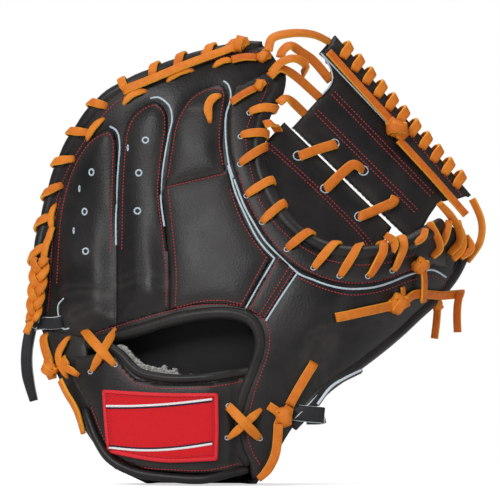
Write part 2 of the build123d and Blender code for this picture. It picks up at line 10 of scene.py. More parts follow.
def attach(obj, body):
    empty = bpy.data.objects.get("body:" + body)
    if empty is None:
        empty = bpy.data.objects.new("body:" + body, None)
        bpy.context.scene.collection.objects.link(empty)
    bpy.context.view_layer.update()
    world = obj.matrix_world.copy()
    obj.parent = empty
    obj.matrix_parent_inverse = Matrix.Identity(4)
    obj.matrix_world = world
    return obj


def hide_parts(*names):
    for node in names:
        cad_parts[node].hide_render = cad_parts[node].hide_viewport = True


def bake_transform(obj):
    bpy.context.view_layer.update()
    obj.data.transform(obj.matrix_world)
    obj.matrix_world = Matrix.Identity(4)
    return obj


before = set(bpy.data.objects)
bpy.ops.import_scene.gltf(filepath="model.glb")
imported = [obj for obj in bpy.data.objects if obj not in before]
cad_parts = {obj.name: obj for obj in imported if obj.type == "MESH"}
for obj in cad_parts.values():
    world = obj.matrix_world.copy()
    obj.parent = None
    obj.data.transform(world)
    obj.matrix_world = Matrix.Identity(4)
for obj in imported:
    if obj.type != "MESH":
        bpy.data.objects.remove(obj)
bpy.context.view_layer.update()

# ---- camera ----
# A long lens well back from the mitt, level with its middle and square to the back of the hand,
# so that the outline shows almost without perspective.
VIEW_WIDTH = 0.320
VIEW_HEIGHT = 0.149
CAMERA_BACK = 6.0
SENSOR = 36.0
camera = bpy.data.objects.new("camera", bpy.data.cameras.new("camera"))
bpy.context.scene.collection.objects.link(camera)
bpy.context.scene.camera = camera
camera.data.sensor_width = SENSOR
camera.data.lens = SENSOR * CAMERA_BACK / VIEW_WIDTH
camera.data.clip_end = 100
camera.location = (0, -CAMERA_BACK, VIEW_HEIGHT)
camera.rotation_euler = (math.pi / 2, 0, 0)


# ---- free lace ends ----
# Rawhide lace, cut 6 mm wide from a dyed hide: the grain face is rust orange and the cut sides
# show the paler core. The ends hang free below their knots. The little finger's tie is black.
MM = 0.001
FOLD_X = 12.0                 # where the fold crosses the ground
FOLD_LEAN = math.radians(20)
FOLD_SOFT = 35.0              # the leather bends over this far on each side of the fold
LACE_WIDTH = 6.0
LACE_THICKNESS = 2.2
LACE_ROUTES = {
    "side_lace_tail": [(-121.5, 0.5, 65.5), (-117.5, -3, 57), (-113, -5, 50.5), (-109.5, -6.5, 43),
                       (-106.5, -8, 31.5)],
    "heel_lace_tail": [(18, -47.5, 38.5), (17.5, -48, 26), (15.5, -48, 16.5), (10.5, -47, 7.5),
                       (5.5, -46, 3.5)],
    "web_loop_lace": [(143.5, 60, 182), (149, 60, 172), (150.5, 59, 161), (147.5, 57, 150),
                      (140.5, 53, 141.5)],
    "little_finger_tail": [(-140, 33, 103), (-143, 31, 90), (-144, 30, 77), (-142.5, 30, 64),
                           (-139, 31, 52)],
}


def across(x, z):
    """Distance from the fold line, positive on the thumb side."""
    return (x - FOLD_X) * math.cos(FOLD_LEAN) - z * math.sin(FOLD_LEAN)


def along_fold(x, z):
    """Distance up the fold line from the ground."""
    return (x - FOLD_X) * math.sin(FOLD_LEAN) + z * math.cos(FOLD_LEAN)


def linear(code):
    """An sRGB hex colour as the linear one that a shader takes."""
    parts = [int(code[i:i + 2], 16) / 255 for i in (1, 3, 5)]
    return [p / 12.92 if p <= 0.04045 else ((p + 0.055) / 1.055) ** 2.4 for p in parts] + [1.0]


def add_node(tree, kind, settings=None, inputs=None):
    """A node with its settings, and each input set or linked."""
    made = tree.nodes.new(kind)
    for name, value in (settings or {}).items():
        setattr(made, name, value)
    for name, value in (inputs or {}).items():
        if isinstance(value, bpy.types.NodeSocket):
            tree.links.new(value, made.inputs[name])
        else:
            made.inputs[name].default_value = value
    return made


def new_material(name):
    material = bpy.data.materials.new(name)
    material.use_nodes = True
    material.node_tree.nodes.clear()
    return material, material.node_tree


class Look:
    """A material in the making. Each method adds one node and gives back what comes out of it."""

    def __init__(self, name):
        self.material, self.tree = new_material(name)
        self.place = add_node(self.tree, "ShaderNodeTexCoord").outputs["Object"]

    def attribute(self, name):
        return add_node(self.tree, "ShaderNodeAttribute", {"attribute_name": name}).outputs["Fac"]

    def noise(self, scale, detail, roughness=0.5):
        return add_node(self.tree, "ShaderNodeTexNoise", None,
                        {"Vector": self.place, "Scale": scale, "Detail": detail,
                         "Roughness": roughness}).outputs["Fac"]

    def cells(self, scale, **smooth):
        settings = {"feature": "SMOOTH_F1"} if smooth else None
        return add_node(self.tree, "ShaderNodeTexVoronoi", settings,
                        {"Vector": self.place, "Scale": scale, **smooth}).outputs["Distance"]

    def sum(self, value, times, plus, clamped=False):
        return add_node(self.tree, "ShaderNodeMath", {"operation": "MULTIPLY_ADD", "use_clamp": clamped},
                        {0: value, 1: times, 2: plus}).outputs[0]

    def spread(self, value, low, high, to_low=0.0, to_high=1.0):
        return add_node(self.tree, "ShaderNodeMapRange", None,
                        {"Value": value, "From Min": low, "From Max": high,
                         "To Min": to_low, "To Max": to_high}).outputs[0]

    def mix(self, share, first, second):
        """Between two colours, each a hex code or another mix."""
        first, second = (linear(c) if isinstance(c, str) else c for c in (first, second))
        return add_node(self.tree, "ShaderNodeMix", {"data_type": "RGBA"},
                        {"Factor": share, 6: first, 7: second}).outputs[2]

    def finish(self, colour, roughness, bump=None, **more):
        """The shader itself. bump is a height, its strength and its distance in metres."""
        inputs = {"Base Color": colour, "Roughness": roughness,
                  **{name.replace("_", " "): value for name, value in more.items()}}
        if bump:
            height, strength, distance = bump
            inputs["Normal"] = add_node(self.tree, "ShaderNodeBump", None, {
                "Strength": strength, "Distance": distance, "Height": height}).outputs[0]
        shader = add_node(self.tree, "ShaderNodeBsdfPrincipled", None, inputs)
        add_node(self.tree, "ShaderNodeOutputMaterial", None, {"Surface": shader.outputs[0]})
        return self.material


def rawhide(name, face, face_dark, core):
    """Cut lace: a dyed face with darker streaks where it was stretched, and paler cut sides."""
    look = Look(name)
    # patches where the dye took unevenly, about 5 mm across
    patchy = look.sum(look.noise(210.0, 3.0), 0.9, look.attribute("dye"))
    dyed = look.mix(look.spread(patchy, 0.35, 1.25), face, face_dark)
    # fibres of the hide, drawn 0.8 mm apart so that they show
    fibres = look.noise(1300.0, 2.0)
    cut = look.sum(fibres, 0.35, look.attribute("cut_side"), True)
    return look.finish(look.mix(look.spread(cut, 0.45, 0.85), dyed, core), 0.52, (fibres, 0.35, 0.0004),
                       IOR=1.5, Specular_IOR_Level=0.2)


LACE = rawhide("orange_rawhide_lace", "#E08428", "#C25D1B", "#E69F2E")
TIE = rawhide("black_rawhide_tie", "#2A2B2E", "#1F2022", "#C9D4DA")


def direction_at(points, i):
    return (points[min(i + 1, len(points) - 1)] - points[max(i - 1, 0)]).normalized()


def stations(points, normals, widths=None, heights=None):
    """Where a ring goes along a line: a matrix for each point, X across, Y up and Z along."""
    made = []
    for i, point in enumerate(points):
        along = direction_at(points, i)
        up = normals[i] - along * normals[i].dot(along)
        up = up.normalized() if up.length > 1e-6 else along.orthogonal().normalized()
        aside = up.cross(along)
        wide, high = widths[i] if widths else 1.0, heights[i] if heights else 1.0
        turned = Matrix((aside * wide, up * high, along)).transposed().to_4x4()
        made.append(Matrix.Translation(point) @ turned)
    return made


def draw_out(bm, ring, places, marks=None):
    """Draws a closed ring through its stations and caps both ends. marks go on the ring's points."""
    first = [bm.verts.new(places[0] @ Vector(point)) for point in ring]
    for layer, values in (marks or {}).items():
        for vert, value in zip(first, values):
            vert[layer] = value
    edges = [bm.edges.new((first[i - 1], first[i])) for i in range(len(ring))]
    bm.faces.new(first)
    for before, here in zip(places, places[1:]):
        made = bmesh.ops.extrude_edge_only(bm, edges=edges)["geom"]
        verts = [part for part in made if isinstance(part, bmesh.types.BMVert)]
        fresh = set(verts)
        edges = [part for part in made if isinstance(part, bmesh.types.BMEdge)
                 and part.verts[0] in fresh and part.verts[1] in fresh]
        bmesh.ops.transform(bm, matrix=here @ before.inverted(), verts=verts)
    bmesh.ops.contextual_create(bm, geom=edges)


def circle(radius, sides, high=None):
    """A ring for draw_out: round, or an ellipse that is this high."""
    high = radius if high is None else high
    return [(radius * math.cos(a), high * math.sin(a), 0)
            for a in (2 * math.pi * k / sides for k in range(sides))]


def lace_bmesh():
    bm = bmesh.new()
    return bm, bm.verts.layers.float.new("cut_side"), bm.verts.layers.float.new("dye")


def lay_lace(kit, points, normals, width=LACE_WIDTH, thickness=LACE_THICKNESS, dye=0.3, ends=(1.0, 1.0)):
    """A flat lace through some points. Its corners are rounded and its ends narrow a little."""
    bm, side, tone = kit
    half, low = width / 2, thickness / 2
    ring = [(half, 0), (half - 0.1, low * 0.62), (half - 0.55, low * 0.97), (half * 0.4, low * 1.08),
            (-half * 0.4, low * 1.08), (-half + 0.55, low * 0.97), (-half + 0.1, low * 0.62)]
    ring += [(-x, -y) for x, y in ring]
    sides = [1.0, 0.85, 0.0, 0.0, 0.0, 0.0, 0.85] * 2
    count = len(points)
    widths = []
    for i in range(count):
        share = i / (count - 1)
        widths.append(ends[0] + (1 - ends[0]) * min(share * 4, 1) if share < 0.5
                      else ends[1] + (1 - ends[1]) * min((1 - share) * 4, 1))
    draw_out(bm, [(x, y, 0) for x, y in ring], stations(points, normals, widths),
             {side: sides, tone: [dye] * len(ring)})


def shown(bm, name):
    """The finished mesh as an object at the origin, in metres, with its faces outwards."""
    bmesh.ops.scale(bm, vec=(MM, MM, MM), verts=bm.verts)
    bmesh.ops.recalc_face_normals(bm, faces=bm.faces)
    mesh = bpy.data.meshes.new(name)
    bm.to_mesh(mesh)
    bm.free()
    mesh.polygons.foreach_set("use_smooth", [True] * len(mesh.polygons))
    piece = bpy.data.objects.new(name, mesh)
    bpy.context.scene.collection.objects.link(piece)
    return piece


def fitted(piece, material, slot, *nodes):
    """Gives a piece its material and hides the CAD nodes it stands for. It rides on one half of the mitt, or
    stays unparented where it spans the fold.
    """
    piece.data.materials.append(material)
    sides = [across(vert.co.x / MM, vert.co.z / MM) for vert in piece.data.vertices]
    if max(sides) < -FOLD_SOFT:
        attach(piece, "finger_side")
    elif min(sides) > FOLD_SOFT:
        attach(piece, "thumb_side")
    else:
        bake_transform(piece)
    if nodes:
        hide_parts(*nodes)
    return piece


def in_leather(bm, name, *nodes):
    return fitted(shown(bm, name), BLACK_LEATHER, "black_leather", *nodes)


def in_lace(kit, name, *nodes, material=LACE, slot="lace_leather"):
    return fitted(shown(kit[0], name), material, slot, *nodes)


def nurbs_line(route):
    """Points along the smooth curve that a free lace takes, in millimetres."""
    curve = bpy.data.curves.new("route", "CURVE")
    curve.dimensions = "3D"
    spline = curve.splines.new("NURBS")
    spline.points.add(len(route) - 1)
    for point, place in zip(spline.points, route):
        point.co = (*place, 1)
    spline.order_u = 3
    spline.use_endpoint_u = True
    curve.resolution_u = 8
    line = bpy.data.objects.new("route", curve)
    bpy.context.scene.collection.objects.link(line)
    mesh = bpy.data.meshes.new_from_object(line)
    points = [vert.co.copy() for vert in mesh.vertices]
    bpy.data.objects.remove(line)
    return points


def free_lace(name, stands_for, width, dye, normal, material=LACE, slot="lace_leather"):
    """A lace end that hangs free along its route. normal is the way its grain face looks."""
    points = nurbs_line(LACE_ROUTES[stands_for])
    kit = lace_bmesh()
    lay_lace(kit, points, [Vector(normal)] * len(points), width, LACE_THICKNESS, dye, (1.0, 0.72))
    piece = in_lace(kit, name, stands_for, material=material, slot=slot)


free_lace("side_lace_end", "side_lace_tail", 5.4, 0.2, (-1.4, -1, -0.7))
free_lace("heel_lace_end", "heel_lace_tail", 6.0, 0.35, (0.1, -1, 0.15))
free_lace("web_lace_end", "web_loop_lace", 5.0, 0.3, (-0.7, -1, 0.0))
free_lace("little_finger_tie_end", "little_finger_tail", 7.8, 0.2, (-0.2, -1, 0.0), TIE, "tie_leather")


# ---- back leather ----
# Two or three ounces of black steerhide over the back of the hand, cut as one piece with the
# stalls sewn on to it. Its edges are caught in the rolled rim, and it dips at every seam.
RIM = [(-136, 105), (-138.5, 130), (-136.5, 150), (-132.5, 169), (-127.5, 189), (-120, 210),
       (-109.5, 228), (-96.5, 244), (-83, 253.5), (-66, 261.5), (-48.5, 268.8), (-27, 275.7),
       (-8, 279.6), (8, 281)]
CROTCH = [(19, 268), (17, 252), (9, 238), (5, 222), (5.4, 205), (10.6, 189), (22, 169), (38, 155),
          (57, 148), (78, 147), (96, 150.5)]
THUMB_TIP = [(112, 158), (124, 166), (134, 161), (139, 149), (134, 135)]
THUMB_EDGE = [(122, 119.5), (109, 108), (96, 96), (80, 83.5), (65, 72.5), (50, 62), (38, 50),
              (27, 36), (19, 23), (12, 10)]
OPENING = [(-105, 88), (-92, 92), (-70, 98.5), (-46, 105.5), (-20, 109), (-3, 106.5), (4.5, 99.5),
           (6.5, 89), (3, 76), (-4, 58), (-8, 43), (-8.6, 31), (-6, 20), (-1, 12)]
SIDE = [(-86, 9), (-103, 30), (-117, 55), (-129, 81)]
LITTLE_STALL = [[(-107, 93), (-131, 100), (-129.5, 120), (-128, 140), (-126, 162), (-122, 182),
                 (-115.5, 200), (-108, 214), (-100, 222.5), (-92, 226.5), (-87, 223), (-85.6, 212),
                 (-85.8, 185), (-85.1, 152), (-84.9, 101)]]
RING_STALL = [[(-85.6, 101.5), (-85.6, 152), (-84, 185), (-82.4, 212), (-80, 228), (-73, 239),
               (-62, 244.5), (-54.5, 239), (-52.8, 228), (-55.8, 205), (-57.2, 185), (-54.4, 163),
               (-51.4, 135), (-51.4, 111)]]
MIDDLE_STALL = [[(-54.8, 188.4), (-52, 212), (-48, 233), (-37, 249), (-21, 255.5), (-14.8, 250),
                 (-16.6, 235), (-17.6, 218), (-15.6, 197.4)]]
INDEX_PAD = [[(-54.4, 191.6), (-14.6, 200.2)], [(-10.5, 186), (-4, 169), (4, 155), (13.2, 143.4)],
             [(-4.2, 112.6)], [(-16, 114.6), (-32, 114.4), (-51.2, 110.8)],
             [(-51, 135), (-53.8, 163), (-56.6, 184)]]
DIVIDER = [[(16.8, 146)], [(29.5, 135.2)], [(10.2, 104.8)], [(-2.6, 111.0)]]
WELT_LINE = [(-9.5, 254), (-12.8, 244), (-14, 228), (-12.8, 212), (-8, 193), (0, 174),
             (12, 154), (24, 141.5), (36, 134.5), (50, 129.5), (68, 127), (86, 129.5),
             (102, 135), (117, 139), (128, 137)]
SEAM_DIP = 1.5
SEAM_WIDTH = 3.2
HIDE_THICKNESS = 2.2
FOLD_DEPTH = -38              # the back along the fold, where it stands out most
TIP_LEAN = 60                 # how far the finger tips lean away from there
EDGE_CURL = 80                # how far each half curls round at its edge
FINGER_REACH = 190            # from the fold to the finger side's edge
THUMB_REACH = 68              # and to the thumb side's
# each crease of the thumb as a line and a depth
CREASES = [([(46, 98), (41, 88), (36, 76)], 1.3), ([(52, 92), (46, 84), (42, 74)], 0.9),
           ([(39, 94), (45, 90.4), (52, 89)], 0.6), ([(37, 88), (43, 84.6), (50, 83)], 0.6),
           ([(35, 82), (41, 79), (47, 78)], 0.5), ([(46, 74), (45, 66), (42, 58)], 1.0),
           ([(60, 104), (72, 101), (84, 104)], 0.4)]


def ramp(value):
    value = min(max(value, 0.0), 1.0)
    return value * value * (3 - 2 * value)


def back(x, z):
    """Depth of the back leather under the seams, as the CAD solids have it, in millimetres."""
    side, height = across(x, z), along_fold(x, z)
    lean = TIP_LEAN * (max(height - 90, 0) / 170) ** 1.5
    fade = ramp((height - 100) / 130)
    if side < 0:
        return FOLD_DEPTH + lean + EDGE_CURL * (side / FINGER_REACH) ** 2 * (1 - 0.55 * fade)
    return FOLD_DEPTH + lean + EDGE_CURL * (side / THUMB_REACH) ** 1.7 * (1 - 0.25 * fade)


def facing(depth, x, z):
    """Direction square to a surface, out of the back of the mitt."""
    slope_x = (depth(x + 1, z) - depth(x - 1, z)) / 2
    slope_z = (depth(x, z + 1) - depth(x, z - 1)) / 2
    return Vector((slope_x, -1, slope_z)).normalized()


def smooth_line(points, step=2.5, closed=False):
    """Evenly spaced places on the smooth curve through some points, in two or three dimensions."""
    points = [Vector(point) for point in points]
    if len(points) == 2:
        fine = [points[0].lerp(points[1], i / 20) for i in range(21)]
    else:
        fine = []
        count = len(points)
        for i in range(count if closed else count - 1):
            if closed:
                a, b, c, d = (points[(i + k) % count] for k in (-1, 0, 1, 2))
            else:
                b, c = points[i], points[i + 1]
                a = points[i - 1] if i else b * 2 - c
                d = points[i + 2] if i + 2 < count else c * 2 - b
            for k in range(12):
                t = k / 12
                fine.append(0.5 * (b * 2 + (c - a) * t + (a * 2 - b * 5 + c * 4 - d) * t * t
                                   + (b * 3 - a - c * 3 + d) * t ** 3))
        fine.append(points[0].copy() if closed else points[-1].copy())
    lengths = [0.0]
    for before, here in zip(fine, fine[1:]):
        lengths.append(lengths[-1] + (here - before).length)
    count = max(round(lengths[-1] / step), 1)
    places, k = [], 0
    for i in range(count + 1):
        wanted = lengths[-1] * i / count
        while k < len(fine) - 2 and lengths[k + 1] < wanted:
            k += 1
        span = lengths[k + 1] - lengths[k]
        places.append(fine[k].lerp(fine[k + 1], (wanted - lengths[k]) / span if span else 0))
    return places


def outline(runs, step=2.5):
    """A closed outline: each run is a smooth curve, and runs join with straight edges."""
    points = []
    for i, run in enumerate(runs):
        places = smooth_line(run, step) if len(run) > 1 else [Vector(run[0])]
        following = Vector(runs[(i + 1) % len(runs)][0])
        points += places[:-1] + smooth_line([places[-1], following], step)[:-1]
    return [tuple(point) for point in points]


def depth_inside(points, edge):
    """How far each point is inside a closed outline; it is negative outside."""
    points, a = np.asarray(points, float), np.asarray(edge, float)
    b = np.roll(a, -1, axis=0)
    nearest, inside = np.full(len(points), 1e9), np.zeros(len(points), bool)
    for start, end in zip(a, b):
        run = end - start
        share = np.clip(((points - start) @ run) / max(run @ run, 1e-9), 0, 1)
        nearest = np.minimum(nearest, np.linalg.norm(points - start - share[:, None] * run, axis=1))
        crosses = (start[1] > points[:, 1]) != (end[1] > points[:, 1])
        if run[1]:
            inside ^= crosses & (points[:, 0] < start[0] + run[0] * (points[:, 1] - start[1]) / run[1])
    return np.where(inside, nearest, -nearest)


def distance_to(points, line):
    """How far each point is from an open line."""
    points, line = np.asarray(points, float), np.asarray(line, float)
    nearest = np.full(len(points), 1e9)
    for start, end in zip(line, line[1:]):
        run = end - start
        share = np.clip(((points - start) @ run) / max(run @ run, 1e-9), 0, 1)
        nearest = np.minimum(nearest, np.linalg.norm(points - start - share[:, None] * run, axis=1))
    return nearest


def cut_panel(edge, cell):
    """A flat piece cut to an outline, divided into cells small enough to shape."""
    bm = bmesh.new()
    bm.faces.new([bm.verts.new((x, 0, z)) for x, z in edge])
    for axis in (0, 2):
        low = min(vert.co[axis] for vert in bm.verts)
        high = max(vert.co[axis] for vert in bm.verts)
        normal = Vector((1, 0, 0)) if axis == 0 else Vector((0, 0, 1))
        for i in range(1, int((high - low) / cell) + 1):
            bmesh.ops.bisect_plane(bm, geom=bm.verts[:] + bm.edges[:] + bm.faces[:],
                                   plane_co=normal * (low + i * cell), plane_no=normal)
    bmesh.ops.triangulate(bm, faces=[face for face in bm.faces if len(face.verts) > 4])
    return bm


def crown(inside, shoulder):
    """Height of stuffed leather by its distance from the seam: steep at the seam, flat on top."""
    share = np.clip(inside / shoulder, 0, 1)
    return np.sqrt(1 - (1 - share) ** 2)


def hide_wrinkles(x, z, seed):
    """The slight unevenness of leather over padding, within about half a millimetre."""
    slow = noise.noise(Vector((x * 0.035, z * 0.028, seed)))
    fast = noise.noise(Vector((x * 0.14, z * 0.09, seed + 7)))
    return 0.75 * slow + 0.05 * fast


def leather(name, base, pale, grain_mm=1.4, roughness=0.41):
    """Dyed steerhide, tumbled to a fine pebble: dark, half matt, paler where it is rubbed or stretched."""
    look = Look(name)
    # pull-up of the dye in patches some 30 mm across
    cloud = look.noise(32.0, 4.0, 0.6)
    worn = look.sum(look.attribute("rubbed"), 0.5, cloud, True)
    # the pebble is under 1 mm on the real hide, drawn coarser so that it shows
    grain = look.cells(1 / (grain_mm * MM), Smoothness=0.6)
    height = look.sum(look.noise(900.0, 2.0), 0.5, grain)
    gloss = look.spread(cloud, 0.3, 0.7, roughness - 0.05, roughness + 0.08)
    return look.finish(look.mix(look.spread(worn, 0.35, 0.95), base, pale), gloss, (height, 0.17, 0.0005),
                       IOR=1.45, Specular_IOR_Level=0.34, Sheen_Weight=0.02, Sheen_Roughness=0.4)


BLACK_LEATHER = leather("black_steerhide", "#131213", "#2D2927")
LINING = leather("black_lining", "#111010", "#1D1B1A", 1.2, 0.65)
skins = []


def shape_panel(bm, edge, depth, height, shoulder, seed, creases=(), dips=(), soft=None):
    """Lays a flat cut piece on a surface and stuffs it. dips are outlines that other pieces are sewn over.
    soft is a height on the mitt under which the seam fades into a valley."""
    places = [(vert.co.x, vert.co.z) for vert in bm.verts]
    inside = depth_inside(places, edge)
    profile = crown(inside, shoulder)
    if soft:
        sharp = np.clip((np.array(places)[:, 1] - soft) / 30, 0, 1)
        share = np.clip(inside / shoulder, 0, 1)
        profile = sharp * profile + (1 - sharp) * share * share * (3 - 2 * share)
    lift = profile * height
    rubbed = np.exp(-np.abs(inside - 2.5) / 2.0) * (sharp if soft else 1)
    for line, deep in creases:
        near = distance_to(places, smooth_line(line))
        lift -= deep * np.exp(-(near / 2.2) ** 2)
        rubbed = np.maximum(rubbed, 0.8 * np.exp(-((near - 2.6) / 1.6) ** 2))
    for other in dips:
        reach = depth_inside(places, other)
        lift -= SEAM_DIP * np.exp(-np.clip(-reach, 0, None) / SEAM_WIDTH) + 1.2 * np.clip(reach / 4, 0, 1)
    layer = bm.verts.layers.float.new("rubbed")
    for vert, up, rub in zip(bm.verts, lift, rubbed):
        x, z = vert.co.x, vert.co.z
        out = facing(depth, x, z)
        vert.co = Vector((x, depth(x, z), z)) + Vector((out.x * 0.5, out.y, out.z * 0.5)) * (
            up + hide_wrinkles(x, z, seed) * min(height / 2, 1))
        vert[layer] = rub


def keep_skin(bm):
    """Remembers the outer face of a panel, so that stitches and laces can be laid on it."""
    skins.append(BVHTree.FromBMesh(bm))


def backed(bm, thickness=HIDE_THICKNESS):
    """Gives the piece its thickness, behind the face that shows."""
    bmesh.ops.recalc_face_normals(bm, faces=bm.faces)
    if sum(face.normal.y for face in bm.faces) > 0:
        bmesh.ops.reverse_faces(bm, faces=bm.faces)
    bmesh.ops.solidify(bm, geom=bm.faces[:], thickness=thickness)


def sewn_panel(name, edge, cell, depth, height, shoulder, seed, nodes, thickness=HIDE_THICKNESS, **shape):
    """A panel cut, shaped and backed. Its face is kept for what is sewn or laid on it."""
    bm = cut_panel(edge, cell)
    shape_panel(bm, edge, depth, height, shoulder, seed, **shape)
    keep_skin(bm)
    backed(bm, thickness)
    return in_leather(bm, name, *nodes)


STALLS = {"little": outline(LITTLE_STALL), "ring": outline(RING_STALL), "middle": outline(MIDDLE_STALL),
          "index": outline(INDEX_PAD), "divider": outline(DIVIDER)}
BAND = outline([WELT_LINE, list(reversed([(19, 268)] + CROTCH[1:] + THUMB_TIP[:2]))])
FIELD = outline([RIM, CROTCH + THUMB_TIP[:2], THUMB_TIP[2:] + THUMB_EDGE + [(8.6, 3.6)],
                 [(1.4, 3.6)] + list(reversed(OPENING)), [(-98, 60)], [(-84, 14)], SIDE])
sewn_panel("back_leather", FIELD, 3.0, back, 1.6, 14, 3.0, ["back_field", "heel_flap", "thumb_back_panel"],
           creases=CREASES, dips=list(STALLS.values()) + [BAND])


# ---- finger stalls, index pad and divider ----
# Each stall is a separate piece of hide over a finger of felt padding, sewn down round its edge
# with red thread. The index pad and the short divider strip beside it are flatter.
CROWNS = {"little": (6.0, 15), "ring": (5.5, 14), "middle": (4.5, 14), "index": (2.6, 13), "divider": (1.4, 6)}
STALL_NODES = {"little": "little_finger_stall", "ring": "ring_finger_stall", "middle": "middle_finger_stall",
               "index": "index_pad_panel", "divider": "divider_strip"}
SEAM_END = 148
STALL_CREASES = [([(-118, 122), (-104, 124), (-92, 121)], 0.7), ([(-84, 128), (-68, 132), (-55, 128)], 0.6),
                 ([(-50, 240), (-36, 236), (-18, 239)], 0.4), ([(-112, 107), (-100, 112), (-90, 109)], 0.6)]
for seed, (finger, edge) in enumerate(STALLS.items()):
    height, shoulder = CROWNS[finger]
    sewn_panel(finger + "_stall_leather", edge, 2.2, back, height, shoulder, 20.0 + seed, [STALL_NODES[finger]],
               creases=STALL_CREASES, soft=SEAM_END if finger in ("little", "ring") else None)


# ---- crotch band ----
# A curved strip of hide that runs under the crotch from the middle finger to the thumb. It
# carries the lace holes of the crotch and spans the fold.
sewn_panel("crotch_band_leather", BAND, 2.4, back, 2.0, 12, 31.0, ["crotch_band_finger", "crotch_band_thumb"])


# ---- rolled rim, crotch roll and opening binding ----
# Strips of hide rolled round a cord and sewn into the edge. They are tight and smooth, and the
# laces that go over them pinch them a little.
ROLL_RADIUS = 4.5
CROTCH_ROLL_RADIUS = 5.0
BINDING_RADIUS = 4.0
ROLL_SIDES = 18


def on_surface(points, depth, lift, step=4.0):
    """A smooth line on a surface, raised square to it."""
    return [Vector((x, depth(x, z), z)) + facing(depth, x, z) * lift
            for x, z in smooth_line(points, step)]


def roll_piece(name, line, radius, nodes, pinches=(), seed=0.0, ends=0.75, depth=back):
    """A roll of hide along a line. It narrows at its ends and where a lace pinches it."""
    bm = bmesh.new()
    sizes = []
    for i, point in enumerate(line):
        share = i / (len(line) - 1)
        size = 1 + 0.05 * noise.noise(Vector((point.x * 0.06, point.z * 0.06, seed)))
        size -= 0.11 * sum(math.exp(-((share - pinch) * len(line) / 1.6) ** 2) for pinch in pinches)
        tip = min(share, 1 - share) * len(line)
        sizes.append(size * (ends + (1 - ends) * min(tip / 2, 1)))
    normals = [facing(depth, point.x, point.z) for point in line]
    draw_out(bm, circle(radius, ROLL_SIDES), stations(line, normals, sizes, sizes))
    rub = bm.verts.layers.float.new("rubbed")
    for vert in bm.verts:
        vert[rub] = 0.25
    return in_leather(bm, name, *nodes)


RIM_TURNS = [0.158, 0.24, 0.315, 0.396, 0.479, 0.565, 0.643, 0.722, 0.79, 0.865, 0.925]
RIM_HOLES = [(-131, 151.6), (-126.6, 170.6), (-121.4, 190.6), (-113.8, 207.8), (-104, 224.6),
             (-92.6, 241.6), (-79.6, 251.6), (-62.6, 259.6), (-47, 265.6), (-30, 273.2), (-15, 278.4)]
rim_line = on_surface(RIM, back, -2.0)
crotch_line = on_surface(CROTCH + THUMB_TIP[:2], back, -2.0)
thumb_line = on_surface(THUMB_TIP[2:] + THUMB_EDGE[:-2], back, -2.0)
opening_line = on_surface(OPENING, back, -1.0)
roll_piece("rim_roll_leather", rim_line, ROLL_RADIUS, ["rim_roll"], RIM_TURNS, 1.0)
roll_piece("crotch_roll_leather", crotch_line, CROTCH_ROLL_RADIUS,
           ["crotch_roll_finger", "crotch_roll_thumb"], [], 2.0)
roll_piece("thumb_roll_leather", thumb_line, ROLL_RADIUS, ["thumb_rim_roll"], [], 3.0)
roll_piece("opening_binding_leather", opening_line, BINDING_RADIUS, ["opening_binding"], [], 4.0)


# ---- wrist strap ----
# A wide strap of the same hide across the wrist, rolled at its top and foot. It bows away from
# the hand, and a strip of grey fleece lines the side against the wrist.
STRAP = [[(-96, 83), (-86, 81), (-79, 73), (-70, 66), (-50, 63.5), (-30, 64), (-13, 66), (3, 70)],
         [(-4, 40), (0, 12)], [(-16, 8), (-30, 7.2), (-50, 8), (-70, 11), (-86, 18.5), (-95, 30),
                                    (-103, 49), (-113, 66), (-113, 80)]]
STRAP_TOP = [(-98, 88), (-90, 87), (-82, 81.5), (-75.5, 74.5), (-68, 70), (-50, 67.2),
             (-30, 67.8), (-15, 69.8), (-5, 71.4), (3, 73.4)]
STRAP_FOOT = [(-106.5, 48), (-98.5, 28), (-88.5, 14.8), (-72, 7.2), (-50, 4.2), (-30, 3.4),
              (-14, 6.8), (-1, 9.5)]
STRAP_ROLL_RADIUS = 3.0


def strap(x, z):
    """Depth of the strap's outer face."""
    return back(x, z) - 4.0 - 5.0 * ramp((x + 114) / 22) * ramp((-4 - x) / 26) + 3.5 * ramp((x + 15) / 8)


sewn_panel("wrist_strap_leather", outline(STRAP), 2.6, strap, 1.2, 12, 41.0, ["wrist_strap"], 3.0)
roll_piece("strap_top_roll", on_surface(STRAP_TOP, strap, -1.4, 3.0), STRAP_ROLL_RADIUS,
           ["strap_top_binding"], [], 5.0, depth=strap)
roll_piece("strap_foot_roll", on_surface(STRAP_FOOT, strap, -1.4, 3.0), STRAP_ROLL_RADIUS,
           ["strap_foot_binding"], [], 6.0, depth=strap)

# tufts of cut wool pile some 1.5 mm across, pale at the tips and grey in between
look = Look("grey_wool_fleece")
pile = look.sum(look.noise(1500.0, 3.0), 0.8, look.cells(620.0))
WOOL = look.finish(look.mix(look.spread(pile, 0.3, 1.2), "#D5D3CE", "#77756F"), 0.95, (pile, 0.9, 0.0012),
                   Sheen_Weight=0.5, Sheen_Roughness=0.6)

FLEECE = outline([[(-90, 84), (-84, 88.5), (-79, 86), (-73, 79.5), (-66, 75.5), (-54, 73), (-40, 69),
                   (-16, 64)], [(-16, 14)], [(-50, 11), (-84, 22), (-97, 44), (-104, 66), (-100, 78)]])
fleece = cut_panel(FLEECE, 2.0)
for vert in fleece.verts:
    x, z = vert.co.x, vert.co.z
    fluff = 1.4 * noise.noise(Vector((x * 0.5, z * 0.5, 3))) + 0.8 * noise.noise(Vector((x * 1.3, z * 1.3, 9)))
    vert.co = Vector((x + fluff * 0.4, strap(x, z) + 5.6 + 0.5 * fluff, z + fluff * 0.5))
backed(fleece, 2.6)
fitted(shown(fleece, "strap_fleece_pile"), WOOL, "fleece", "strap_fleece")


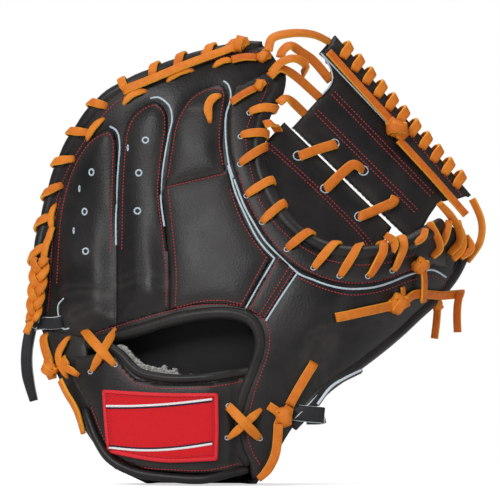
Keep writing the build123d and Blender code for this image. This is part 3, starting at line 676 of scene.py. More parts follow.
# ---- wrist patch ----
# A woven red label, embroidered round its border and sewn to the strap. Two plain white bars
# with a dark shadow thread cross it, and it carries no words.
PATCH = outline([[(-94.3, 59.8), (-76, 58.6), (-50, 57.8), (-20.4, 57.8)], [(-20, 36), (-20.6, 15.4)],
                 [(-45, 14.2), (-70, 16), (-90.8, 20)], [(-92.6, 38)]], 1.6)
PATCH_BORDER = 2.6
PATCH_CORNERS = [(-93.2, 58.7), (-21.5, 56.8), (-21.7, 16.4), (-90, 20.9)]
PATCH_BOWS = [(0, -0.9), (0.5, 0), (0, -3.4), (-0.3, 0)]
BARS = [([(-91.5, 49.4), (-74, 49.6), (-56, 50.6), (-40, 52.2), (-24, 54.2)], -1),
        ([(-89.5, 23.0), (-72, 21.6), (-56, 21.8), (-40, 23.4), (-24, 25.9)], 1)]


def woven(name, thread, ground, thread_mm=1.0):
    """Twill-woven polyester: slanting ribs of shiny thread on a darker ground."""
    look = Look(name)
    # ribs of thread at a slant, a little coarser than the real 0.4 mm so that they show
    slanted = add_node(look.tree, "ShaderNodeMapping", None,
                       {"Vector": look.place, "Rotation": (0, math.radians(62), 0)}).outputs[0]
    ribs = add_node(look.tree, "ShaderNodeTexWave", {"wave_type": "BANDS", "bands_direction": "X"},
                    {"Vector": slanted, "Scale": 0.314 / (thread_mm * MM), "Distortion": 0.6}).outputs["Fac"]
    mixed = look.sum(look.noise(900.0, 2.0), 0.35, ribs, True)
    return look.finish(look.mix(mixed, ground, thread), 0.7, (mixed, 0.5, 0.0004), Specular_IOR_Level=0.15)


def first_hit(x, z):
    """The outermost leather at a place on the back: where it is, in millimetres."""
    nearest = None
    for skin in skins:
        hit = skin.ray_cast(Vector((x, -300, z)), Vector((0, 1, 0)))[0]
        if hit is not None and (nearest is None or hit.y < nearest.y):
            nearest = hit
    return nearest if nearest is not None else Vector((x, back(x, z), z))


def skin_facing(x, z, reach=1.2):
    """Direction square to the leather, evened out over a few millimetres."""
    aside = first_hit(x + reach, z).y - first_hit(x - reach, z).y
    upward = first_hit(x, z + reach).y - first_hit(x, z - reach).y
    limit = 2.4 * reach * 2
    aside, upward = max(min(aside, limit), -limit), max(min(upward, limit), -limit)
    return Vector((aside / (2 * reach), -1, upward / (2 * reach))).normalized()


def laid(points, lift, step=2.0):
    """A smooth line laid on the leather, with the direction out of it at each place."""
    flat = smooth_line(points, step)
    normals = [skin_facing(x, z) for x, z in flat]
    return [first_hit(x, z) + normal * lift for (x, z), normal in zip(flat, normals)], normals


patch = cut_panel(PATCH, 2.2)
for vert in patch.verts:
    x, z = vert.co.x, vert.co.z
    vert.co.y = first_hit(x, z).y - 1.3
keep_skin(patch)
backed(patch, 1.2)
fitted(shown(patch, "label_ground"), woven("red_twill_label", "#DE2028", "#B4161F"), "label_fabric",
       "label_patch")


def satin(bm, points, width, height, lift):
    """A band of satin stitch: threads packed side by side across a line."""
    places, normals = laid(points, lift, 1.0)
    heights = [1 + 0.22 * (-1) ** i for i in range(len(places))]
    draw_out(bm, circle(width / 2, 10, height), stations(places, normals, None, heights))


border = bmesh.new()
for start, end, bow in zip(PATCH_CORNERS, PATCH_CORNERS[1:] + PATCH_CORNERS[:1], PATCH_BOWS):
    middle = ((start[0] + end[0]) / 2 + bow[0], (start[1] + end[1]) / 2 + bow[1])
    satin(border, [start, middle, end], PATCH_BORDER, 0.9, 0.2)
fitted(shown(border, "label_border"), woven("red_satin_border", "#EA3A42", "#C2222B", 1.2), "label_fabric")
for n, (bar, shadow_way) in enumerate(BARS):
    white = bmesh.new()
    satin(white, bar, 1.5, 0.6, 0.3)
    fitted(shown(white, f"label_bar_{n + 1}"), woven("white_satin_thread", "#F4F4F4", "#D8D8DC", 1.2),
           "label_fabric")
    dark = bmesh.new()
    satin(dark, [(x, z + 1.25 * shadow_way) for x, z in bar], 1.0, 0.4, 0.2)
    fitted(shown(dark, f"label_bar_shadow_{n + 1}"), woven("navy_satin_thread", "#2E2A3C", "#1C1A28", 1.2),
           "label_fabric")


# ---- pale piping ----
# Thin pale blue-white piping caught in the seams between the stalls, along the crotch band and
# beside the divider strip.
WELTS = [[(-90, 228.5), (-86, 226), (-84, 221), (-83.6, 212), (-85, 195), (-85.9, 170), (-85.7, 152)],
         [(-64, 246.4), (-59, 247), (-54.6, 244.5), (-51, 240), (-49.9, 232), (-52.2, 222), (-54.4, 210),
          (-56.4, 195), (-57, 180), (-54.8, 164)],
         [(-17, 257.4), (-14, 255), (-12.2, 249), (-12.8, 243), (-15.4, 235), (-15.6, 222), (-14.6, 211),
          (-13.2, 203), (-10.6, 195)],
         [(-14, 203), (-9.4, 186), (-2.4, 170), (3.6, 158), (9.4, 150), (15.8, 143.4)],
         [(15.8, 143.4), (9.4, 132.6), (3.6, 122.6), (-2.4, 111.8)],
         [(30.2, 134.2), (23.4, 124.4), (16.8, 114.4), (10.2, 103.8)],
         [(-10, 194), (-4, 178), (2.4, 166), (9.4, 155), (17, 147), (30, 134.6), (40, 130), (50, 126.4),
          (60, 124.4), (70, 124.2), (80, 125.4), (90, 128.4), (100, 132.5), (110, 135.4), (118, 136),
          (126, 131.6)]]
WELT_RADIUS = 0.68
# calendered vinyl over a cord: even, slightly glossy, a little dirty
look = Look("pale_blue_vinyl_piping")
dirt = look.noise(260.0, 3.0)
PIPING = look.finish(look.mix(dirt, "#C8D6DE", "#9DB0BC"), 0.42, (dirt, 0.3, 0.0002), IOR=1.5)


def piped(name, lines, radius, lift, *nodes, place_line=laid):
    """Piping laid along some lines, half sunk in the seam."""
    bm = bmesh.new()
    for line in lines:
        places, normals = place_line(line, lift, 1.6)
        draw_out(bm, circle(radius, 8), stations(places, normals))
    return fitted(shown(bm, name), PIPING, "pale_welt", *nodes)


piped("stall_piping", WELTS[:6], WELT_RADIUS, 0.25, "stall_welts")
piped("crotch_piping", WELTS[6:], WELT_RADIUS, 0.25, "crotch_welt_thumb")


# ---- vent holes ----
# Holes punched through the stalls to let the fingers breathe. Each has a pale worn rim.
# across, up, half the width and half the height of each
VENTS = [(-67, 219.4, 1.9, 1.8), (-71.2, 198.4, 1.9, 1.9), (-72, 174, 2.0, 1.9), (-101.8, 199, 1.5, 2.0),
         (-106.2, 173.6, 1.5, 2.0), (-105.4, 148.2, 1.8, 1.9)]
HOLE_SIDES = 14
SLITS = [(-78.3, 214.6, 0.35, 1.9), (-109.6, 188.4, 0.4, 1.9), (-113.2, 161.4, 0.35, 1.9)]
# painted shade: near-black discs stand in for the shadowed insides of the punched holes
look = Look("painted_hole_shade")
HOLE_SHADE = look.finish(look.mix(look.noise(1500.0, 2.0), "#020202", "#0A090A"), 0.9)


def punched(rim_name, shade_name, holes, rim=0.42):
    """Pale rims round punched holes, and a near-black disc of painted shade in each hole that stands for its
    shadowed inside.
    """
    rims, shade_discs = bmesh.new(), bmesh.new()
    for x, z, wide, high in holes:
        around = [(x + aside, z + up) for aside, up, _ in circle(wide, HOLE_SIDES, high)]
        normal = skin_facing(x, z, 2.5)
        places = [first_hit(*point) + normal * 0.1 for point in around + around[:2]]
        draw_out(rims, circle(rim, 6), stations(places, [normal] * len(places)))
        # a near-black slab of painted shade, set in the hole, stands for its shadowed inside
        middle = first_hit(x, z) + normal * 0.3
        turned = normal.to_track_quat("Z", "Y").to_matrix().to_4x4()
        disc = bmesh.ops.create_circle(shade_discs, cap_ends=True, segments=HOLE_SIDES, radius=1.0)["verts"]
        bmesh.ops.transform(shade_discs, verts=disc, matrix=Matrix.Translation(middle) @ turned
                            @ Matrix.Diagonal((wide, high, 1, 1)))
        for face in {face for vert in disc for face in vert.link_faces}:
            raised = bmesh.ops.extrude_discrete_faces(shade_discs, faces=[face])["faces"]
            bmesh.ops.translate(shade_discs, vec=normal * -0.6,
                                verts=list({vert for side in raised for vert in side.verts}))
    fitted(shown(rims, rim_name), PIPING, "pale_welt")
    fitted(shown(shade_discs, shade_name), HOLE_SHADE, "black_leather")


punched("vent_rims", "vent_hole_shade", VENTS, 0.6)
punched("slit_rims", "slit_hole_shade", SLITS, 0.4)


# ---- red stitching ----
# Bonded red nylon thread, a dozen stitches to the inch, set 3 mm inside each seam.
STITCH_PITCH = 2.1
STITCH_LENGTH = 1.6
STITCH_THICK = 0.78
# twisted filaments with a waxed shine
look = Look("red_bonded_nylon_thread")
twist = look.noise(1800.0, 1.0)
RED_THREAD = look.finish(look.mix(twist, "#C43440", "#8E1F2A"), 0.5, (twist, 0.4, 0.0002))
STITCH_LINES = {
    "rim": [[(-130.6, 138), (-131, 150), (-129.6, 160), (-127, 172), (-122, 189), (-116, 203), (-109, 215),
             (-101.5, 226), (-94, 236), (-87, 243), (-76, 250), (-62, 257.4), (-48, 263), (-30, 269.5),
             (-12, 274), (4, 276)],
            [(-130, 110), (-129, 120), (-128, 140), (-126, 165), (-122, 182)]],
    "little": [[(-124, 128), (-123, 150), (-121.5, 170), (-118, 187), (-112.5, 203), (-106, 214),
                (-99.5, 220.6), (-92, 223.6), (-88.4, 220), (-88, 210), (-88.6, 185), (-89, 148)]],
    "ring": [[(-82, 150), (-81.4, 185), (-80, 211), (-77.6, 227), (-71.6, 236.6), (-62, 241.6), (-56.2, 237.4),
              (-54.8, 228), (-57.8, 205), (-59.2, 185), (-56.6, 163), (-53.6, 136), (-53.4, 114)]],
    "middle": [[(-52.4, 196), (-49.6, 213), (-46, 231), (-36.4, 246.4), (-22, 252.6), (-17, 248.6),
                (-18.8, 235), (-19.8, 218), (-17.6, 204)]],
    "index": [[(-52.4, 189.4), (-16.4, 197.6)], [(-12.4, 187), (-6.6, 170), (1.4, 156), (10.4, 144.2)],
              [(10.4, 144.2), (-5.4, 114.8)], [(-52.2, 187), (-49.6, 163), (-47, 135), (-47.4, 114)],
              [(-46, 112.6), (-30, 116.4), (-16, 116.8), (-6, 114.8)]],
    "divider": [[(18.4, 143.6), (0.8, 112.6)], [(27.4, 135.4), (9.2, 106.8)], [(24.6, 137.4), (6.4, 108.4)]],
    "crotch": [[(11.6, 256), (8.6, 247), (3.6, 239), (-0.6, 231), (-2.6, 222), (-1.6, 210), (0.6, 200),
                (4, 186), (10, 174), (20, 161.6), (33, 151), (47, 143.6), (60, 140.4), (75, 139.4),
                (90, 141.4), (104, 146)]],
    "band": [[(-6.6, 196), (-1, 180), (5, 168.6), (12, 158), (21, 148), (32, 139), (42, 133.6), (52, 130),
              (61, 128.2), (71, 128), (82, 129.4), (92, 132.4), (103, 136.8), (114, 139.6)]],
    "thumb": [[(31, 131.4), (45, 125), (60, 120.8), (71, 120.6), (85, 123), (100, 128.4), (110, 131.4),
               (118, 132.2), (124, 128), (126, 122)]],
    "opening": [[(-104, 93.4), (-92, 98), (-70, 104.6), (-46, 111.4), (-30, 114), (-14, 114.4), (-2, 112.4),
                 (6, 107.4), (11.4, 100), (12.6, 90), (10, 78), (4, 62), (0, 46), (-1.4, 32), (1, 22),
                 (6, 13)]],
    "strap_top": [[(-96, 79), (-86, 76.4), (-79.6, 70), (-72, 63.6), (-62, 61.4), (-48, 60.6), (-30, 61.6),
                   (-15, 63.4), (-5, 65.4)]],
    "strap_foot": [[(-101, 48), (-93.4, 29.6), (-86, 17.8), (-72, 11.4), (-52, 9.4), (-30, 8.8),
                    (-15.6, 11.2), (-8, 13)]],
}


def stitched(name, lines, pitch=STITCH_PITCH, length=STITCH_LENGTH, place_line=laid):
    """Rows of short stitches, each sunk a little where it enters the hide."""
    bm = bmesh.new()
    for line in lines:
        places, normals = place_line(line, 0.16, pitch)
        for i, (place, normal) in enumerate(zip(places, normals)):
            along = direction_at(places, i)
            up = (normal - along * normal.dot(along)).normalized()
            turned = Matrix((up.cross(along), up, along)).transposed().to_4x4()
            bmesh.ops.create_uvsphere(bm, u_segments=6, v_segments=4, radius=0.5,
                                      matrix=Matrix.Translation(place) @ turned
                                      @ Matrix.Diagonal((STITCH_THICK, STITCH_THICK, length, 1)))
    return fitted(shown(bm, name), RED_THREAD, "black_leather")


for row, lines in STITCH_LINES.items():
    stitched(f"{row}_stitches", lines)
stitched("label_stitches", [[(-91, 55.8), (-58, 55.2), (-24, 54.2)], [(-24, 54.2), (-24.2, 19.2)],
                            [(-24.2, 19.2), (-56, 17.2), (-87.6, 23)], [(-87.6, 23), (-91, 55.8)]], 2.2, 1.4)


# ---- rim lacing ----
# One long lace spirals round the rolled rim through punched holes and holds back and palm
# together. Each turn comes out of its hole, lies over the roll and goes round behind it.
SLANT_MOST = 0.55


def along_line(line, share):
    """The place at a share of a line, and the line's direction there."""
    place = share * (len(line) - 1)
    i = min(int(place), len(line) - 2)
    return line[i].lerp(line[i + 1], place - i), (line[i + 1] - line[i]).normalized()


def wrapped(kit, points, normals, width, dye, ends):
    """A lace through points that faces its own way at each of them."""
    fine = smooth_line(points, 1.3)
    even = []
    for i in range(len(fine)):
        reach = i / (len(fine) - 1) * (len(points) - 1)
        k = min(int(reach), len(points) - 2)
        even.append(normals[k].lerp(normals[k + 1], reach - k).normalized())
    lay_lace(kit, fine, even, width, LACE_THICKNESS, dye, ends)


def lace_over(kit, line, share, radius, hole, dye=0.3, width=LACE_WIDTH, behind=210):
    """A turn of lace: up through its hole, slanting over a roll at a share of its line, and behind it.
    behind is how far round the roll it goes, in degrees."""
    centre, way = along_line(line, share)
    face = facing(back, centre.x, centre.z)
    face = (face - way * face.dot(way)).normalized()
    out = face.cross(way)
    r = radius + LACE_THICKNESS / 2 + 0.1
    start, up = first_hit(*hole), skin_facing(*hole, 2.5)
    top = centre + face * r
    ahead = (top - start).normalized()
    slope = min(max((top - start).dot(way) / max((top - start).dot(out), 4), -SLANT_MOST), SLANT_MOST)
    points = [start - up * 1.4, start + up * 1.0 + ahead * 0.7, start.lerp(top, 0.55) + face * 1.2]
    normals = [(up * 0.4 - ahead).normalized(), (up - ahead * 0.5).normalized(), face]
    for degrees in range(96, 90 - behind, -20):
        a = math.radians(degrees)
        spoke = out * math.cos(a) + face * math.sin(a)
        points.append(centre + spoke * r + way * slope * r * min(math.radians(90 - degrees), 1.5))
        normals.append(spoke)
    wrapped(kit, points, normals, width, dye, (0.75, 0.9))


kit = lace_bmesh()
for i, (share, hole) in enumerate(zip(RIM_TURNS, RIM_HOLES)):
    lace_over(kit, rim_line, share, ROLL_RADIUS, hole, 0.15 + 0.12 * (i % 3), 5.6)
in_lace(kit, "rim_lacing", "rim_lace")


# ---- laces and knots on the fingers ----
# A straight lace ties off along the top of the rim with an overhand knot, and shorter ends come
# out beside the stalls. Each end goes down into its own punched hole.
LACE_STEP = 1.6
DIVE_DEPTH = 2.2
DIVE_RUN = 2.4
LEAF = (0.45, 0.45)           # ends that narrow where the lace goes down into its hole


def lace_on(kit, points, width=LACE_WIDTH, dye=0.3, lift=LACE_THICKNESS / 2, arch=0.6, dives=(1, 1),
            ends=(1.0, 1.0)):
    """A lace that lies on the leather and dives into a hole at each end that dives asks for."""
    places, normals = laid(points, lift, LACE_STEP)
    count = len(places)
    for i, normal in enumerate(normals):
        share = i / (count - 1)
        rise = arch * math.sin(math.pi * share)
        rise -= (DIVE_DEPTH * dives[0] * max(1 - i * LACE_STEP / DIVE_RUN, 0)
                 + DIVE_DEPTH * dives[1] * max(1 - (count - 1 - i) * LACE_STEP / DIVE_RUN, 0))
        places[i] = places[i] + normal * rise
    even = [sum((normals[max(min(k, count - 1), 0)] for k in range(i - 3, i + 4)), Vector()).normalized()
            for i in range(count)]
    lay_lace(kit, places, even, width, LACE_THICKNESS, dye, ends)


def lace_through(kit, points, up, width=LACE_WIDTH, dye=0.3, ends=(1.0, 1.0)):
    """A lace that spans free of the leather through points in space."""
    fine = smooth_line(points, LACE_STEP)
    lay_lace(kit, fine, [Vector(up)] * len(fine), width, LACE_THICKNESS, dye, ends)


def knot(kit, centre, along, up, size=1.0, dye=0.25):
    """A tightened overhand knot: two crossing wraps round the standing lace, and its folded core."""
    along, up = Vector(along).normalized(), Vector(up).normalized()
    up = (up - along * up.dot(along)).normalized()
    aside = up.cross(along)
    for turn, radius, wide, start in ((0.62, 2.5, 5.4, -0.1), (-0.7, 3.3, 5.0, 0.15)):
        axis = along * math.cos(turn) + aside * math.sin(turn)
        cross = up.cross(axis)
        points, normals = [], []
        for i in range(15):
            angle = 2 * math.pi * (start + i / 13)
            spoke = up * math.cos(angle) + cross * math.sin(angle)
            wrap = spoke * radius * (1 + 0.25 * abs(math.sin(angle))) + axis * (i - 7) * 0.16
            points.append(centre + wrap * size)
            normals.append(spoke)
        lay_lace(kit, points, normals, wide * size, LACE_THICKNESS * size, dye, (0.8, 0.8))
    core = [centre + along * reach * size for reach in (-6.0, -3.0, 0.0, 3.0, 6.0)]
    lay_lace(kit, core, [up] * len(core), 6.4 * size, 3.2 * size, dye + 0.15, (0.7, 0.7))


def knot_on(kit, x, z, toward, size=1.0, dye=0.25, lift=2.6):
    """A knot lying on the leather. toward is the way its lace runs, across and up."""
    normal = skin_facing(x, z, 4.0)
    centre = first_hit(x, z) + normal * lift * size
    knot(kit, centre, (toward[0], 0, toward[1]), normal, size, dye)


kit = lace_bmesh()
lace_on(kit, [(-80.6, 250.6), (-60, 258.2), (-36, 267.8), (-10, 277.6)], 5.6, 0.25, lift=3.2, arch=0.8)
knot_on(kit, -6.5, 280, (0.9, 0.35), 1.05, 0.35)
in_lace(kit, "top_lace_and_knot", "top_lace")
kit = lace_bmesh()
lace_on(kit, [(-105, 219.6), (-100.4, 227), (-94, 233.6)], 4.4, 0.0, arch=0.8, ends=LEAF)
lace_on(kit, [(-81.4, 242.6), (-75, 248.4), (-66.4, 251.4)], 4.4, 0.0, arch=0.8, ends=LEAF)
lace_on(kit, [(-53.4, 257.4), (-45, 262.2), (-36.4, 264.6)], 4.2, 0.0, arch=0.6, ends=LEAF)
lace_on(kit, [(-23.4, 266.6), (-17, 269.6), (-11, 270.6)], 4.0, 0.1, lift=1.4, ends=LEAF)
lace_on(kit, [(-11.6, 270), (-4, 271.4), (4, 271.6)], 5.0, 0.7, lift=2.4, dives=(0, 0))
knot_on(kit, 8.5, 272.4, (0.9, 0.1), 0.85, 0.3)
in_lace(kit, "finger_lace_ends", "finger_knots")
kit = lace_bmesh()
lace_on(kit, [(-11.4, 242.8), (-4, 247.8), (3, 251.6)], 4.8, 0.75, lift=2.2, dives=(0, 0))
knot_on(kit, 6.2, 253.8, (0.8, 0.5), 0.75, 0.3)
lace_on(kit, [(-19, 248.2), (-24.4, 244.6), (-26.8, 239), (-25.6, 231)], 5.4, 0.1, lift=1.6, arch=1.6,
        ends=LEAF)
in_lace(kit, "middle_finger_lace", "middle_finger_knot")


# ---- crotch lacing ----
# Turns of lace that bind the crotch band to the roll and carry on behind it to the web. The
# hole where each one starts has a pale rim.
CROTCH_TURNS = [(0.145, (0.4, 237.6)), (0.22, (-5.2, 222.4)), (0.275, (-5.6, 204.6)), (0.37, (-1.4, 184.4)),
                (0.45, (8.4, 167.4)), (0.56, (24.2, 150.2)), (0.645, (41.2, 138.4)), (0.715, (57.8, 133.2)),
                (0.79, (76, 133)), (0.85, (91.6, 136.6))]
kit = lace_bmesh()
for i, (share, hole) in enumerate(CROTCH_TURNS):
    lace_over(kit, crotch_line, share, CROTCH_ROLL_RADIUS, hole, 0.2 + 0.15 * (i % 3), 5.6, 170)
in_lace(kit, "crotch_lacing", "crotch_laces_finger", "crotch_laces_thumb")
punched("crotch_hole_rims", "crotch_hole_shade", [(x - 0.8, z - 0.8, 1.6, 1.4) for _, (x, z) in CROTCH_TURNS], 0.35)


# ---- web ----
# Two panels of stiff hide, each sewn double: the outer one carries the edge lacing along its
# top strip and the inner one sits in the crotch. Three laces tie the panels together.
WEB_OUTER = [[(28, 228.5), (46.5, 249)], [(51.6, 255), (53.2, 261), (50.6, 269), (45.5, 277)],
             [(55, 288)], [(143, 184.5)], [(121.5, 179.5)], [(115.5, 171), (111, 163)], [(103, 155.5)]]
WEB_STRIP = [[(46.6, 276.4)], [(55.4, 287)], [(142.4, 184.6)], [(133, 181.6)]]
WEB_INNER = [[(22, 231), (8, 216)], [(4, 196), (20, 168), (40, 154), (60, 146), (80, 147)],
             [(88, 158), (91, 163.5)]]
WEB_SLOPE = 0.69
EDGE_LOOPS = 11
WEB_LACE_WIDTH = 6.4
WEB_EDGE = Vector((0.662, 0.014, -0.749)).normalized()
WEB_OUT = Vector((0.749, 0.689, 0.662)).normalized()


def web(x, z):
    """Depth of the web's face towards the back: a plane that leans away towards its outer edge."""
    return -8 + WEB_SLOPE * (0.763 * x + 0.647 * z - 129)


def web_laid(points, lift, step=2.0):
    """A smooth line laid on the web's face, with the direction out of it at each place."""
    flat = smooth_line(points, step)
    return [Vector((x, web(x, z) - 1.2 - lift, z)) for x, z in flat], [facing(web, x, z) for x, z in flat]


for name, runs, height, thickness, lift, seed, nodes in (
        ("web_outer_leather", WEB_OUTER, 1.0, 3.6, 0.0, 51.0, ["web_outer_finger", "web_outer_thumb"]),
        ("web_top_strip", WEB_STRIP, 1.2, 3.0, 1.2, 52.0, []),
        ("web_inner_leather", WEB_INNER, 1.6, 3.6, 0.0, 53.0, ["web_inner_finger", "web_inner_thumb"])):
    sewn_panel(name, outline(runs), 2.6, lambda x, z: web(x, z) - lift, height, 9, seed, nodes, thickness)
piped("web_piping", [[(46.5, 249), (51.6, 255), (53.2, 261), (50.6, 269), (45.8, 276)],
                     [(46.2, 275.6), (90, 229.5), (112, 205.5), (133, 181.8)]], 0.55, 0.5, place_line=web_laid)
stitched("web_stitches", [[(54.9, 250.6), (117.8, 186)], [(52.9, 248.6), (115.8, 184)],
                          [(44.2, 238.4), (107.6, 175.4)], [(42.2, 236.4), (105.6, 173.4)],
                          [(56, 273), (96, 231), (136, 185)]], 2.2, 1.6)
stitched("web_inner_stitches", [[(8, 208.6), (13.6, 216), (76.4, 155.4), (65, 147.6)],
                                [(9.6, 206.2), (14.2, 212.4), (73, 155.6), (62.4, 149)]], 2.2, 1.6)
WEB_HOLES = [(31, 209.4, 3.3, 2.9), (54.4, 217.4, 2.9, 2.7), (48.4, 188.4, 3.2, 2.8), (72.8, 200, 3.2, 3.0),
             (70.4, 170.4, 3.3, 2.9), (93.4, 181, 1.6, 1.4)]
punched("web_hole_rims", "web_hole_shade", WEB_HOLES)
kit = lace_bmesh()
for route in ([(30.6, 208.2), (34, 210), (43, 213.4), (52.6, 216.4), (55.6, 217)],
              [(47.4, 187.6), (50, 189.6), (58, 197.4), (65.6, 203.6), (70, 202.6), (73.4, 198.6)],
              [(69.2, 169.6), (72, 171), (82, 175.2), (92, 179.8), (93, 184)]):
    last = len(route) - 1
    points = [Vector((x, web(x, z) + (1.6 if k in (0, last) else -2.2 - 1.4 * math.sin(math.pi * k / last)), z))
              for k, (x, z) in enumerate(route)]
    lace_through(kit, points, facing(web, 60, 190), WEB_LACE_WIDTH, 0.45)
in_lace(kit, "web_cross_laces", "web_cross_laces_finger", "web_cross_lace_thumb")
kit = lace_bmesh()
for i in range(EDGE_LOOPS):
    x, z = 60.2 + 7.3 * i, 273.4 - 8.34 * i
    tilt = facing(web, x, z)
    centre = Vector((x + 2.8, web(x + 2.8, z + 5.5) + 0.2, z + 5.5))
    points = [Vector((x, web(x, z) - 0.6, z)), Vector((x + 0.4, web(x, z) - 3.6, z + 0.9)),
              Vector((x + 1.5, web(x + 1.5, z + 3) - 4.4, z + 3))]
    normals = [(tilt * 0.3 - WEB_OUT).normalized(), (tilt - WEB_OUT * 0.4).normalized(), tilt]
    for degrees in range(0, 241, 30):
        a = math.radians(degrees)
        points.append(centre + tilt * 4.0 * math.cos(a) + WEB_OUT * 2.5 * math.sin(a)
                      - WEB_EDGE * 0.9 * min(a, 2))
        normals.append((tilt * math.cos(a) + WEB_OUT * math.sin(a)).normalized())
    wrapped(kit, points, normals, WEB_LACE_WIDTH, 0.15 + 0.12 * (i % 3), (0.8, 0.8))
in_lace(kit, "web_edge_lacing", "web_edge_lace_finger", "web_edge_lace_thumb")
kit = lace_bmesh()
lace_through(kit, [(x, web(x, z) - 5.2, z) for x, z in ((50.6, 277), (70, 255.4), (92, 231))],
             facing(web, 70, 255), 5.4, 0.7)
lace_through(kit, [(x, web(x, z) - 5.2, z) for x, z in ((96, 220), (118, 196), (139.4, 171.6))],
             facing(web, 118, 196), 5.4, 0.6)
knot_on(kit, 93.6, 226, (0.66, -0.75), 1.35, 0.45)
in_lace(kit, "web_straight_lace_and_knot", "web_straight_lace")


# ---- laces between the fingers and the web ----
# These come round the crotch roll at the finger tips and span the gap to the web, curving over.
SPANS = [([(11.6, 277), (14.8, 285.4), (28, 288.6), (41, 287.8), (51.6, 283.4)], 6.0),
         ([(19.4, 272.6), (21, 277), (26, 280.4), (33, 276.4), (41.4, 270.4), (51.8, 258.4)], 6.0),
         ([(13.6, 262.6), (20, 269.4), (28.6, 272), (36, 267.8), (34, 262.6)], 5.6),
         ([(12.6, 260.4), (19, 265.4), (28.6, 261.2), (45, 247)], 5.8),
         ([(18.6, 243.4), (24.2, 246), (35.4, 236.4)], 5.8), ([(9.2, 229.4), (14, 230), (18.6, 225)], 5.4)]
kit = lace_bmesh()
for i, (route, wide) in enumerate(SPANS):
    first = back(*route[0]) - 7.5
    last = web(*route[-1]) + (1.6 if i != 2 else -3)
    points = []
    for k, (x, z) in enumerate(route):
        share = k / (len(route) - 1)
        points.append((x, first + (last - first) * share ** 1.4 - 3 * math.sin(math.pi * share), z))
    lace_through(kit, points, (-0.35, -1, 0.45), wide, 0.3 + 0.15 * (i % 2))
in_lace(kit, "finger_to_web_laces", "finger_web_laces")


# ---- strap crosses and heel lace ----
# The strap is laced on with a cross at each side. The heel lace is knotted below the thumb and
# its end hangs past the strap.
def bridge(kit, start, end, high, width, ends):
    """A lace that spans from hole to hole, high above the hide, over the rolled edges between."""
    start, end = Vector(start), Vector(end)
    points = []
    for share, lift in ((0, -1.4), (0.07, 1.2), (0.33, high), (0.6, high), (0.93, 1.2), (1, -1.4)):
        x, z = start.lerp(end, share)
        deep = first_hit(x, z).y if lift < high else back(x, z)
        points.append((x, deep - lift, z))
    lace_through(kit, points, (0, -1, 0), width, 0.1, ends)


kit = lace_bmesh()
bridge(kit, (-101.4, 71.6), (-86, 98.6), 13.6, 5.4, LEAF)
bridge(kit, (-106.4, 97.4), (-86.4, 75.8), 16.2, 6.2, (0.85, 0.6))
lace_on(kit, [(-115.6, 93.4), (-121, 80.6), (-117, 67)], 4.8, 0.1, lift=1.2, arch=2.2, ends=LEAF)
lace_on(kit, [(-119.6, 80), (-115, 74.6), (-109.4, 68.8)], 5.0, 0.2, lift=2.2, arch=2.0, ends=(0.9, 0.6))
in_lace(kit, "strap_laces_left", "strap_lace_left")
kit = lace_bmesh()
bridge(kit, (-14, 29.2), (7, 47.6), 7.6, 5.2, LEAF)
bridge(kit, (-14, 50), (6.2, 29.2), 10.0, 6.2, (0.85, 0.75))
in_lace(kit, "strap_laces_right", "heel_lace_cross")
punched("strap_hole_rims", "strap_hole_shade", [(-102, 71, 1.3, 1.2), (-86, 75.8, 1.3, 1.2), (-14.6, 29.6, 1.3, 1.2),
                                           (6.4, 29, 1.4, 1.2), (-14, 50, 1.2, 1.2)], 0.35)
kit = lace_bmesh()
knot_on(kit, 21.5, 43, (0.5, 0.85), 1.25, 0.3)
lace_on(kit, [(25, 50), (31, 61), (40.6, 77)], 6.0, 0.35, lift=1.8)
lace_on(kit, [(12, 50), (17, 46.6), (20, 43)], 5.4, 0.3, lift=2.0, dives=(0, 0))
lace_on(kit, [(20, 41), (18, 38.4), (18, 35.6)], 6.0, 0.3, lift=4.0, arch=0, dives=(0, 0))
in_lace(kit, "heel_knot_and_lace", "heel_knot")


# ---- side lacing ----
# Along the little finger the rim lace turns into a flat plait with a long knot, and a knotted
# lace hangs beside the strap.
kit = lace_bmesh()
lace_on(kit, [(-125, 178.6), (-127.2, 170), (-127, 161)], 4.2, 0.0, lift=1.4, ends=LEAF)
lace_on(kit, [(-125.4, 163), (-129.6, 152), (-131.6, 141)], 4.8, 0.15, lift=2.4, dives=(0, 0))
for strand in range(3):
    points = []
    for i in range(25):
        share = i / 24
        turn = 2 * math.pi * (1.45 * share + strand / 3)
        x, z = -134.6 - 4.8 * share, 144 - 40 * share
        wide = 4.6 * (1 - 0.35 * share)
        points.append((x + wide * math.sin(turn), back(-131, z) - 5.6 + 2.0 * math.sin(2 * turn), z))
    lace_through(kit, points, (-0.35, -1, 0), 5.0, 0.1 + 0.15 * strand, (0.8, 0.7))
lace_through(kit, [(-139, back(-131, 107) - 5, 107), (-141.6, back(-131, 101) - 4, 101),
                   (-144, back(-131, 95) - 3, 95.4)], (-0.4, -1, 0), 4.6, 0.2)
in_lace(kit, "side_plait", "side_knot")
kit = lace_bmesh()
lace_on(kit, [(-132, 94.6), (-130.4, 86), (-127.4, 76)], 6.2, 0.4, lift=1.6, dives=(1, 0))
knot_on(kit, -126.6, 72, (0.25, -0.95), 1.1, 0.25)
in_lace(kit, "side_lace_and_knot", "side_lace")


